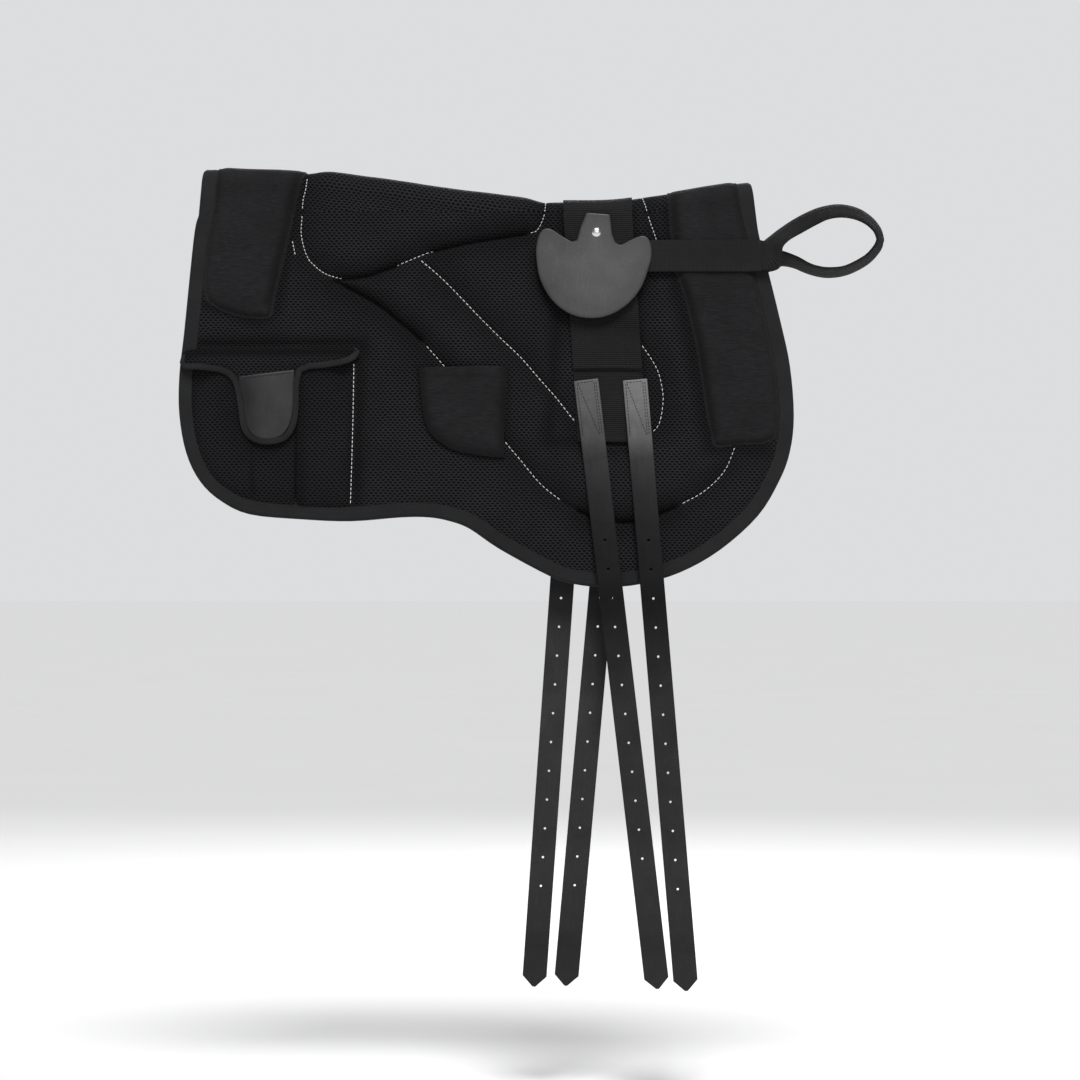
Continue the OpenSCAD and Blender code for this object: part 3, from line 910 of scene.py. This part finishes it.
SHIELD_LINE = np.vstack([[(16.5, 1.5), (41, 0.5), (43.3, -20)], curve([(46.5, -28), (52, -31), (62, -26),
    (72, -22), (79, -23), (83, -30), (84, -41), (81, -54), (73, -75), (59, -92), (41, -103), (22, -106.5),
    (1, -102.5), (-18, -88.5), (-31, -66), (-35, -42), (-34, -27), (-30, -17), (-24, -14), (-17, -16),
    (-8, -22), (2, -28)], 4), [(7, -26), (10.5, -13)]])


def shield_mid(x, w):
    """The shield's own middle: flat at the rivet, then standing off and slightly dished."""
    out = 20.5 + 3.8 * smooth(-w, -10, 70)
    return out + 0.8 * smooth(-w, 60, 108) - 0.0004 * (x - 25) ** 2 * smooth(-w, 10, 60)


# White thread as pitch, length, width and how far it stands up
CLOSE, WIDE = (3.8, 2.7, 0.75, 0.30), (4.9, 3.2, 0.75, 0.30)


def make_side(side, s):
    def flat(x, w, r):
        return place(x, w, r, s)

    def done(obj, body, slot, *nodes):
        if nodes:
            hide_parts(*[f"{side}_{n}" for n in nodes])
        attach(obj, body if body else f"{side}_side")
        return obj

    def hinged(obj, slot, *nodes, other="spine", zs=(JOIN, -26), y=15):
        """Hides the CAD parts this piece stands for and bakes its transform; it does not bend the piece. other,
        zs and y, a neighbour and the heights and distance from the mid plane of a bend, are not used.
        """
        if nodes:
            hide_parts(*[f"{side}_{n}" for n in nodes])
        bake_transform(obj)
        return obj

    flip = s < 0
    own = f"{side}_side"

    def cut(name, outline, top, bottom, material, **more):
        return panel(f"{side}_{name}", outline, top, bottom, flat, flip=flip, materials=[material], **more)

    def sew(name, runs, surface, material=BLACK):
        return stitches(f"{side}_{name}", runs, flat, surface, material)

    # The pad
    outline = np.vstack([xy(join_x, JOIN), LOWER])
    lines = [(line[line[:, 1] < JOIN - 1], 1.3)
             for line in (SEAT[half_seat:], SEAT[:half_seat], OUTER, INNER, FRONT)]
    pad = cut("pad", outline, lambda x, w, d: skin(x, w), lambda x, w, d: lining(x, w), MESH,
              step=3.0, rim=2.5, edges=[EDGE], lines=lines, dark=painted_shade)
    hinged(pad, "mesh", "lining", "core", "cover", "seat_insert", "thigh_insert")

    # Edge tape
    path = np.vstack([[(front_x(JOIN), JOIN), (front_x(2), 2)], LOWER, [(rear_x(2), 2), (rear_x(JOIN), JOIN)]])
    tape = sweep(f"{side}_edge_tape", walk(path, 4), tape_section(), flat, materials=[TAPE], flip=not flip)
    hinged(tape, "binding", "binding")
    seam = path + across(path) * TAPE_SEAM
    runs = [(seam, 3.6, 2.7, 0.6, 0.05)]
    for name, way in (("tape_thread", 1), ("tape_thread_inner", -1)):
        hinged(sew(name, runs, lambda x, w: MID + way * edge_half(TAPE_SEAM + 0 * x) + way * 0.72), "binding")

    # Canvas side pockets round their shims
    rear = np.vstack([
        xy(np.linspace(rear_left(JOIN), rear_right(JOIN), 30), JOIN),
        curve([(-284, 0), (-288, -20), (-295, -50), (-303, -82)], 4),
        curve([(-305, -97), (-309, -106), (-322, -107), (-340, -105), (-361, -98), (-375, -88)], 4),
        curve([(-378, -75), (-377, -50), (-373, -20)], 4)])
    front = np.vstack([
        xy(np.linspace(front_left(JOIN), front_right(JOIN), 32), JOIN),
        [(front_x(-20) - 10, -20), (189.5, -51), (203, -108), (213, -155), (217, -206), (213.5, -230)],
        [(200, -236), (175, -237), (152, -240), (147, -236)],
        [(141, -211), (129, -134), (118, -87), (108, -59), (103, -20)]])
    for name, shape, nodes, wall in (("rear_canvas", rear, ("patch_rear", "shim_rear"), REAR_WALL),
                                     ("front_canvas", front, ("patch_front", "shim_front"), FRONT_WALL)):
        ring = closed_ring(shape)
        low = ring[ring[:, 1] < JOIN - 0.5]
        first = shape[0]
        last = [p for p in shape if p[1] >= JOIN - 0.5][-1]
        line = np.vstack([[(last[0], ABOVE), last], low, [first, (first[0], ABOVE)]])
        obj = cut(name, shape, lambda x, w, d: skin(x, w) + patch_height(x, w, d),
                  lambda x, w, d: skin(x, w) - 0.5, CANVAS, step=3.0, rim=1.2, edges=[line], dark=wall)
        hinged(obj, "canvas", *nodes)
        hem = walk(low, 2.0)
        hem = hem + across(hem) * HEM_SEAM
        hem = hem[inside(hem, shape) & (hem[:, 1] < JOIN - 1)]
        hinged(sew(f"{name}_thread", [(hem, 3.4, 2.5, 0.6, 0.05)],
                   lambda x, w: skin(x, w) + patch_height(x, w, HEM_SEAM + 0 * x)), "canvas")

    # Small canvas pocket
    small = np.vstack([
        [(-156, -157), (-110, -156), (-65, -155)], curve([(-66, -190), (-68, -225), (-68, -249)], 3),
        curve([(-80, -249), (-93, -247), (-119, -242), (-137, -231), (-147, -219), (-152, -200)], 3)])
    sides_line = np.vstack([small[2:], small[:1]])

    def small_out(x, w, d):
        p = xy(x, w)
        e = dist(p, sides_line)
        base = np.maximum(skin(x, w), 18.3 - 1.6 * bell(e, 6))
        hem = 0.55 * (smooth(w, -164.6, -163.8)) + 0.25 * bell(w + 157, 2)
        return base + 0.9 + 4.2 * (1 - bell(e, 15)) + hem + 0.8 * ripple(x, w, 29, 2.2) * smooth(e, 2, 12)

    # Painted shade along the small pocket's sewn sides and just under its top hem
    def small_shade(x, w, d):
        return np.maximum(0.62 * bell(dist(xy(x, w), sides_line) - 1, 6), 0.3 * bell(w + 165, 1.6))

    def small_round(x, w, d):
        return small_out(x, w, d) - 0.5 * (1 - rounded(d, 0.9))

    pocket = cut("belly_pocket", small, small_round, lambda x, w, d: small_out(x, w, d) - 1.3, SMALL_CANVAS,
                 step=2.0, rim=0.9, dark=small_shade)
    done(pocket, own, "canvas", "small_pocket")

    # Storage pocket: one sheet sewn on three sides, open at the top
    bag = np.vstack([
        [(-391, -145), (-300, -146), (-219, -146)], [(-219.5, -200), (-221.5, -260), (-222.5, -306)],
        curve([(-250, -308), (-280, -307), (-330, -302), (-356, -289), (-376, -270), (-389, -242),
               (-396, -205), (-396, -165)], 3)])
    sewn = np.vstack([
        [(-224, -130)], [(-224.5, -200), (-226, -260), (-227, -299)],
        curve([(-250, -302), (-280, -301), (-328, -296), (-352, -284), (-371, -266), (-383, -240),
               (-389, -205), (-389, -165), (-388, -130)], 3)])

    flap = np.vstack([
        [(-399, -143), (-394, -139), (-380, -137), (-300, -136.5), (-235, -135.5), (-222, -136.5)],
        curve([(-217.5, -139.5), (-218.5, -144.5), (-224, -149.5), (-234, -153.5), (-252, -156.5),
               (-268, -158)], 4),
        curve([(-276, -161.5), (-279, -175), (-280, -204), (-284, -221), (-294, -232), (-312, -235.5),
               (-328, -231), (-337, -219), (-341, -193), (-345, -175), (-351, -166), (-362, -161),
               (-381, -158.5)], 4), [(-397, -158), (-401, -152)]])

    def pleat_at(x, w):
        """How far in front of the pocket's pleat a point lies."""
        return x + 281 - 0.02 * (w + 260)

    def bag_out(x, w, d):
        p = xy(x, w)
        e = np.where(inside(p, np.vstack([sewn, [(-388, -100), (-224, -100)]])), dist(p, sewn), 0)
        at = pleat_at(x, w)
        down = smooth(-w, 150, 235)
        inset = -1.5 * smooth(x, -332, -322) * (1 - smooth(at, -0.8, 0.8))
        pleat = 1.5 * bell(at - 5.5, 6.5) - 3.2 * bell(at + 0.6, 1.6) - 1.1 * bell(x + 327, 2.2) + inset
        bulge = 8.2 * (1 - bell(e, 17)) + 1.4 * bell(x + 250, 16) * bell(w + 190, 34)
        free = smooth(dist(p, EDGE), 12.5, 19)
        rise = 1.1 + bulge + 0.7 * ripple(x, w, 58, 1.1) * smooth(e, 3, 20) + down * pleat * smooth(e, 1, 8)
        return skin(x, w) + 0.2 + rise * free

    # Painted shade on the storage pocket: in its pleats, beside the deep pleat, under and round the flap, and
    # along its sewn edge
    def bag_shade(x, w, d):
        p = xy(x, w)
        at = pleat_at(x, w)
        folds = np.maximum(0.75 * bell(at + 0.6, 2.2), 0.4 * bell(x + 327, 3.0)) * smooth(-w, 190, 235)
        beside = 0.5 * bell(at - 4, 6) * smooth(-w, 150, 175)
        near = dist(p, flap, True)
        # Only a narrow mark runs on under the flap, as this shade stays when the flap opens
        under = np.where(inside(p, flap), 0.5 * bell(near, 4),
                         np.maximum(0.5 * bell(near, 8), 0.3 * bell(near, 22)))
        return np.maximum.reduce([folds, beside, under, 0.4 * bell(dist(p, sewn), 5)])

    sack = cut("saddle_pocket", bag, lambda x, w, d: bag_out(x, w, d) - 0.5 * (1 - np.clip(d / 0.6, 0, 1)),
               lambda x, w, d: bag_out(x, w, d) - 1.7, FLAP_MESH, step=3.0, rim=0.8,
               lines=[(np.array([(-279.5, -150), (-282, -298)]), 1.4)], dark=bag_shade)
    done(sack, own, "mesh", "pocket")

    # Its flap
    def flap_in(x, w):
        ends = smooth(x, -402, -372) * smooth(-x, 214, 236)
        turn = np.sin(np.clip((-136.5 - w) / 17, 0, 1) * math.pi / 2)
        lift = (3.2 + 6.9 * ends) * turn + 0.5 * ripple(x, w, 70, 3.0) * turn
        return skin(np.clip(x, -392, 0), w) + 0.5 + lift

    def flap_out(x, w, d):
        return flap_in(x, w) + 1.25 + 0.75 * rounded(d, 1.4)

    cover = cut("pocket_cover", flap, flap_out, lambda x, w, d: flap_in(x, w), FLAP_MESH, step=2.4, rim=1.0,
                # Painted shade on the flap's top, where it turns over, and in a band just inside its taped edge
                dark=lambda x, w, d: 0.65 * smooth(w, -151, -139) + 0.25 * bell(d - 6, 3))
    flap_bend = {"other": f"{side}_pocket_flap", "zs": (-151, -137.5), "y": 15.3}
    hinged(cover, "mesh", "pocket_flap", **flap_bend)
    rim_path = walk(np.vstack([flap[5:], flap[:1]]), 3)

    def flap_tape(i):
        base = flap_in(rim_path[i:i + 1, 0], rim_path[i:i + 1, 1])[0]
        return [(inward, base + lift) for inward, lift in (
            (5.4, 1.7), (5.3, 2.45), (3.5, 2.6), (1.6, 2.5), (0.3, 2.1), (-0.7, 1.2), (-0.7, 0.6), (0.2, -0.3),
            (1.6, -0.6), (5.3, -0.6), (5.4, 0.1))]

    trim = sweep(f"{side}_cover_tape", rim_path, flap_tape, flat, materials=[TAPE], flip=not flip)
    hinged(trim, "binding", **flap_bend)

    tongue = np.vstack([
        [(-341, -166.5), (-314, -163), (-283, -159.5)],
        curve([(-284, -175), (-285, -200), (-288.5, -216), (-297, -227), (-312, -230.5), (-325, -226.5),
               (-332.5, -215), (-336, -193), (-339.5, -174)], 4)])

    def flap_face(x, w):
        return flap_out(x, w, FULL + 0 * x)

    leather_tab = cut("leather_tongue", tongue,
                      lambda x, w, d: flap_face(x, w) + 0.3 + 1.1 * rounded(d, 1.5) + 1.3 * (1 - bell(d, 9)),
                      lambda x, w, d: flap_face(x, w) - 0.2, TONGUE, step=2.2, rim=1.0,
                      # Painted shade on the tongue's left, where it curves away from the light
                      dark=lambda x, w, d: 0.62 * (1 - smooth(x + 0.07 * (w + 190), -337, -314)))
    done(leather_tab, f"{side}_pocket_flap", "leather", "pocket_tab")

    # Girth web
    lean = 0.064 if s > 0 else -0.034
    at_step, at_end = WEB_STEP * lean, WEB_END * lean
    web = np.vstack([xy(np.linspace(WEB_REAR, WEB_FRONT, 29), JOIN),
                     [(WEB_FRONT, 0), (WEB_FRONT + at_step, -WEB_STEP), (WEB_FRONT + at_end, -WEB_END),
                      (WEB_REAR + at_end, -WEB_END), (WEB_REAR + at_step, -WEB_STEP), (WEB_REAR, 0)]])
    web_edge = [(WEB_FRONT, ABOVE), (WEB_FRONT, 0), (WEB_FRONT + at_end, -WEB_END),
                (WEB_REAR + at_end, -WEB_END), (WEB_REAR, 0), (WEB_REAR, ABOVE)]
    fold = [(WEB_REAR + at_step + 1, -159.1), (WEB_FRONT + at_step - 1, -159.1)]
    strap = cut("girth_web", web, web_top, web_bottom, WEB, step=3.0, rim=0.5, edges=[np.array(web_edge)],
                angle=35, lines=[(np.array(fold), 0.45)],
                # Painted shade along the web's step where its upper layer ends, and under the shield's lower
                # edge
                dark=lambda x, w, d: np.maximum(
                    0.75 * bell(w + 160.5 - 2.2 * np.cos((x - 28 - 160 * lean) / 24), 2.0),
                    0.35 * bell(w + 112, 12)))
    hinged(strap, "webbing", "web_lower", "web_upper")
    at_fold, at_hem = 155 * lean, 230 * lean
    web_runs = [(np.array(line), 3.3, 2.5, 0.7, 0.0) for line in (
        [(WEB_REAR + at_fold + 2, -156.5), (28 + at_fold, -155.6), (WEB_FRONT + at_fold - 2, -156)],
        [(WEB_REAR + at_hem + 2, -229.5), (WEB_FRONT + at_hem - 2, -229.5)])]
    done(sew("web_thread", web_runs, lambda x, w: web_top(x, w, FULL + 0 * x)), own, "webbing")

    # Billets
    for which in ("rear", "front"):
        b = BILLETS[f"{side}_{which}"]
        shape = np.array([(-HALF_W, SEWN), (HALF_W, SEWN), (HALF_W, 11 - FREE), (1.5, -FREE), (-1.5, -FREE),
                          (-HALF_W, 11 - FREE)])
        shape = walk(shape, 3.0, True)
        ring = angles(16)
        holes = [xy(HOLE * np.cos(ring), -FIRST - k * PITCH + HOLE * np.sin(ring)) for k in range(b[3])]

        def mid_r(u, v):
            seed = b[0]
            sewn_in = 18.0 + 2.9 * smooth(-v, -80, 14)
            wave = 0.9 * np.sin(v / 83 + seed) * smooth(-v, 120, 300)
            return sewn_in + 0.5 * smooth(-v, 0, 50) - 1.3 * smooth(-v, 70, 170) + wave

        def b_top(u, v, d):
            return mid_r(u, v) + 0.9 + 0.85 * rounded(d, 1.6) - 0.0012 * u * u \
                - 0.3 * bell(d - 3.0, 0.5) * smooth(-v, -70, -58)

        def b_low(u, v, d):
            return mid_r(u, v) - 1.2 - 0.5 * rounded(d, 1.0)

        def b_map(u, v, r):
            x, w = rotate_in(b, u, v)
            return place(x, w, r, s)

        obj = panel(f"{side}_{which}_billet", shape, b_top, b_low, b_map, step=3.0, rim=0.8, holes=holes,
                    flip=flip, materials=[BILLET, FLESH], angle=50,
                    # The rear billets' sewn ends get painted shade, which dims their painted highlight
                    dark=lambda u, v, d, tone=0.37 if which == "rear" else 0.0: tone * smooth(v, -40, 0))
        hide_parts(f"{side}_billet_{which}_end", f"{side}_billet_{which}")
        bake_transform(obj)
        inset = HALF_W - 2.6
        top = SEWN - 3
        runs = [[(-inset, top), (-inset, 2)], [(-inset + 1, top), (inset - 2.5, 3)], [(inset, top), (inset, 2)],
                [(inset - 2.2, top), (inset - 2.2, 2)], [(-inset, SEWN - 2.5), (inset, SEWN - 2.5)]]
        runs = [(np.array(line), 3.4, 2.6, 0.75, 0.0) for line in runs]
        done(stitches(f"{side}_{which}_billet_thread", runs, b_map, lambda u, v: b_top(u, v, 5 + 0 * u), BLACK),
             own, "leather")

    # Shield and rivet
    shield = cut("leather_shield", SHIELD_LINE, lambda x, w, d: shield_mid(x, w) + 0.7 + 0.8 * rounded(d, 1.6),
                 lambda x, w, d: shield_mid(x, w) - 0.7 - 0.8 * rounded(d, 1.2), SHIELD, step=2.4, rim=0.9,
                 # A thin darker rim of the leather's own, and painted shade towards the edges
                 angle=50, dark=lambda x, w, d: 0.35 * bell(d, 1.8) + 0.24 * smooth(d, 26, 3))
    hinged(shield, "leather", "shield_tab", "shield_flap", other=f"{side}_shield_flap", zs=(-34, -17), y=24)

    ring = angles(32)
    prof = [(0, 2.1), (1.2, 2.05), (2.4, 1.85), (3.5, 1.5), (4.3, 1.0), (4.85, 0.4), (5.0, 0.0), (4.6, -0.15),
            (1.8, -0.2), (1.8, -6.5)]
    pts, faces = [], []
    top_r = 22.75
    for rad, h in prof[1:]:
        pts += [(27 + rad * math.cos(a), -18 + rad * math.sin(a), top_r + h) for a in ring]
    pts += [(27, -18, top_r + prof[0][1])]
    m = len(ring)
    for i in range(len(prof) - 2):
        for j in range(m):
            k = (j + 1) % m
            faces.append((i * m + j, (i + 1) * m + j, (i + 1) * m + k, i * m + k))
    faces += [(len(pts) - 1, j, (j + 1) % m) for j in range(m)]
    faces.append(tuple((len(prof) - 2) * m + j for j in range(m))[::-1])
    q = np.array(pts)
    if flip:
        faces = [f[::-1] for f in faces]
    rivet = finish_mesh(f"{side}_rivet_head", flat(*q.T), faces, q / 1000, 50, [STEEL])
    done(rivet, own, "steel", "rivet")

    # Handle strap on the pad, then half of the loop
    strap_shape = np.array([(2, -26.5), (100, -25.5), (190, -25.5), (203, -27), (206, -33), (206, -50),
                            (203, -56), (190, -58), (100, -58), (2, -58)])

    def strap_mid(x, w):
        base = np.maximum(skin(np.clip(x, -50, 178), w) + 4.4 * smooth(x, 95, 112), 18.4)
        return np.minimum(base + 1.0, 20.6) + 0.25 * ripple(x, w, 55, 0.4)

    grip = cut("handle_strap", strap_shape, lambda x, w, d: strap_mid(x, w) + 0.45 + 0.35 * rounded(d, 0.8),
               lambda x, w, d: strap_mid(x, w) - 0.75, STRAP, step=2.8, rim=0.6, cloth=lambda x, w: xy(w, x))
    done(grip, own, "webbing", "handle_web")
    loop_half(side, s)

    # Thread
    white = [(part(SEAT, (-272, 29), (-232, -65)), *CLOSE),
             (part(SEAT, (-179, -52), (-141, -37)), 4.6, 2.9, 0.7, 0.30),
             (part(SEAT, (-43, -18.4), (-26, 6)), *CLOSE),
             (np.array([(-286, -26), (-283, -41)]), *CLOSE),
             (part(OUTER, (-148, -134), (-129, -156)), *WIDE),
             (part(OUTER, (-67, -233), (-10, -293)), *WIDE),
             (part(OUTER, (115, -297), (170, -238)), *WIDE),
             (part(INNER, (-154, -46), (5, -212)), 4.9, 3.3, 0.8, 0.35),
             (part(INNER, (74, -133), (85, -223)), *WIDE),
             (part(FRONT, (76, 17), (89, -25)), *CLOSE)]
    white = [(line[line[:, 1] < JOIN], *rest) for line, *rest in white]
    hinged(sew("white_thread", white, skin, WHITE), "binding")
    bag_line = np.array([(-222.5, -152), (-223.5, -211), (-225, -262), (-226.2, -300)])
    done(sew("pocket_thread", [(bag_line, 4.4, 3.1, 0.8, 0.25)], lambda x, w: bag_out(x, w, FULL), WHITE),
         own, "binding")
    tab_line = np.array([(-337, -168.6), (-314, -165.8), (-286, -162.6)])
    done(sew("tongue_thread", [(tab_line, 3.2, 2.4, 0.7, 0.05)], lambda x, w: flap_face(x, w) + 1.62),
         f"{side}_pocket_flap", "leather")


# Half widths and half thicknesses round the loop's strap
LOOP_SECTION = [(-1, -0.5), (-0.97, -0.9), (-0.5, -1), (0, -1), (0.5, -1), (0.97, -0.9), (1, -0.5),
                (1, 0.5), (0.97, 0.9), (0.5, 1), (0, 1), (-0.5, 1), (-0.97, 0.9), (-1, 0.5)]


def loop_half(side, s):
    """Half of the grab loop: a strap that turns on edge as it leaves the pad."""
    upper = [(196, -41.5, 31), (203.5, -39.5, 30), (210.8, -28.8, 18), (220, -20.3, 15.4), (234, -11.4, 16.4),
             (250, -2.6, 16.2), (263.5, 3, 15), (279, 5.4, 14.8), (295, 3, 13.8), (308, -3.5, 12),
             (317, -12.5, 10.3), (320.5, -21, 9.3), (320.9, -25, 9)]
    lower = [(196, -41.5, 31), (204, -42, 29.5), (212.5, -43, 21), (221, -42, 13.2), (234, -45.6, 9.8),
             (247, -52, 8), (258, -55.6, 8), (269, -57, 8.4), (282.5, -55.8, 8), (295, -51.2, 8.4),
             (308.5, -43, 8.4), (317.8, -32.4, 8.6), (320.7, -25, 9), (320.7, -21.5, 9.3)]
    c = curve(upper if s > 0 else lower, 8)
    run = np.concatenate([[0], np.cumsum(np.linalg.norm(np.diff(c[:, :2], axis=0), axis=1))])
    t = np.gradient(c[:, :2], axis=0)
    t /= np.linalg.norm(t, axis=1)[:, None]
    share = run / run[-1]
    true_w = 31 - 5 * smooth(share, 0.0, 0.3)
    depth = -20.4 * s * (1 - smooth(share, 0.05, 1.0))
    tilt = np.arccos(np.clip(c[:, 2] / true_w, 0.0, 1.0))
    # The left half's end is a little slimmer, so it runs on inside the right half's
    slim = np.ones(len(share))
    # Painted shade on stretches of each half of the loop, carried in its dark attribute
    shade = 0.34 * smooth(share, 0.22, 0.4) + 0.16 * smooth(share, 0.7, 0.9)
    if s < 0:
        slim = 1 - 0.15 * smooth(share, 0.95, 0.98)
        shade = 0.12 * (1 - smooth(share, 0.2, 0.4)) + 0.4 * smooth(share, 0.7, 0.95)
    xyz, cloth = [], []
    for i in range(len(c)):
        ca, sa = math.cos(tilt[i]), math.sin(tilt[i])
        side_way = np.array([-t[i][1] * ca, s * sa, t[i][0] * ca])
        along = np.array([t[i][0], 0, t[i][1]])
        nrm = np.cross(along, side_way)
        nrm /= np.linalg.norm(nrm)
        k = np.array([c[i][0], depth[i], c[i][1]])
        h = true_w[i] / 2 * (0.5 + 0.5 * slim[i])
        for a, b in LOOP_SECTION:
            xyz.append((k + side_way * h * a + nrm * slim[i] * b) / 1000)
            cloth.append((h * a / 1000, run[i] / 1000, b / 1000))
    m = len(LOOP_SECTION)
    faces = tube(len(c), m)
    obj = finish_mesh(f"{side}_loop_strap", np.array(xyz), faces, np.array(cloth), 50, [STRAP],
                      np.repeat(shade, m))
    bmesh_outward(obj)
    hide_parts(f"{side}_handle_half")
    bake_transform(obj)


def bmesh_outward(obj):
    bm = bmesh.new()
    bm.from_mesh(obj.data)
    bmesh.ops.recalc_face_normals(bm, faces=bm.faces)
    bm.to_mesh(obj.data)
    bm.free()


make_side("right", 1)
make_side("left", -1)

# White thread over the spine
strip_runs = []
for line in (part(SEAT, (-271, 40), (-276, 0)), part(SEAT, (-26, 4.5), (-25, 20)),
             part(FRONT, (73, 30), (79, 6))):
    line = line[line[:, 1] > JOIN]
    q = top_w(line[:, 0]) - line[:, 1]
    strip_runs += [(xy(line[:, 0], q), *CLOSE), (xy(line[:, 0], -q), *CLOSE)]
top_thread = stitches("spine_white_thread", strip_runs, over, lambda x, q: skin(x, strip_w(x, q)), WHITE)
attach(top_thread, "spine")


# ---------- stage ----------

def studio():
    floor_z, reach = -0.905, 30
    mesh = bpy.data.meshes.new("floor")
    corners = [(-reach, -reach), (reach, -reach), (reach, reach), (-reach, reach)]
    mesh.from_pydata([(x, y, floor_z) for x, y in corners], [], [(0, 1, 2, 3)])
    floor = bpy.data.objects.new("floor", mesh)
    bpy.context.collection.objects.link(floor)
    s = Shader("floor", Roughness=0.9, Specular_IOR_Level=0.1)
    p = s.node("NewGeometry", out=0)
    s.colour(s.ramp(s.noise(p, 3, 3), [(0.3, (0.735, 0.735, 0.735)), (0.7, (0.745, 0.745, 0.745))]))
    mesh.materials.append(s.mat)

    scene = bpy.context.scene
    scene.view_settings.view_transform = "Standard"
    world = bpy.data.worlds.new("studio")
    scene.world = world
    world.use_nodes = True
    tree = world.node_tree
    ground = tree.nodes["Background"]
    ground.inputs[0].default_value = (0.97, 0.98, 1.0, 1)
    path = tree.nodes.new("ShaderNodeLightPath")
    level = tree.nodes.new("ShaderNodeMapRange")
    level.inputs["To Min"].default_value = 0.14
    level.inputs["To Max"].default_value = 0.74
    tree.links.new(path.outputs["Is Camera Ray"], level.inputs[0])
    tree.links.new(level.outputs[0], ground.inputs[1])

    def lamp(name, kind, at, to, energy, **props):
        light = bpy.data.lights.new(name, kind)
        light.energy = energy
        for key, value in props.items():
            setattr(light, key, value)
        obj = bpy.data.objects.new(name, light)
        obj.location = at
        obj.rotation_euler = (Vector(to) - Vector(at)).to_track_quat("-Z", "Y").to_euler()
        bpy.context.collection.objects.link(obj)

    lamp("key", "SUN", (0.3, -2.3, 3.4), (0, 0, 0), 3.2, angle=math.radians(24))
    lamp("front", "AREA", (0.5, -2.9, 0.75), (0.0, 0, -0.1), 11.5, shape="RECTANGLE", size=1.8, size_y=0.7)
    lamp("back", "AREA", (0.2, 2.4, 1.4), (0, 0, -0.2), 60, shape="RECTANGLE", size=1.6, size_y=1.0)

    cam = bpy.data.cameras.new("camera")
    cam.lens = 120
    cam.sensor_width = 36
    obj = bpy.data.objects.new("camera", cam)
    obj.location = (-0.0309, -3.723, -0.3343)
    obj.rotation_euler = (math.radians(90), 0, 0)
    bpy.context.collection.objects.link(obj)
    scene.camera = obj


studio()
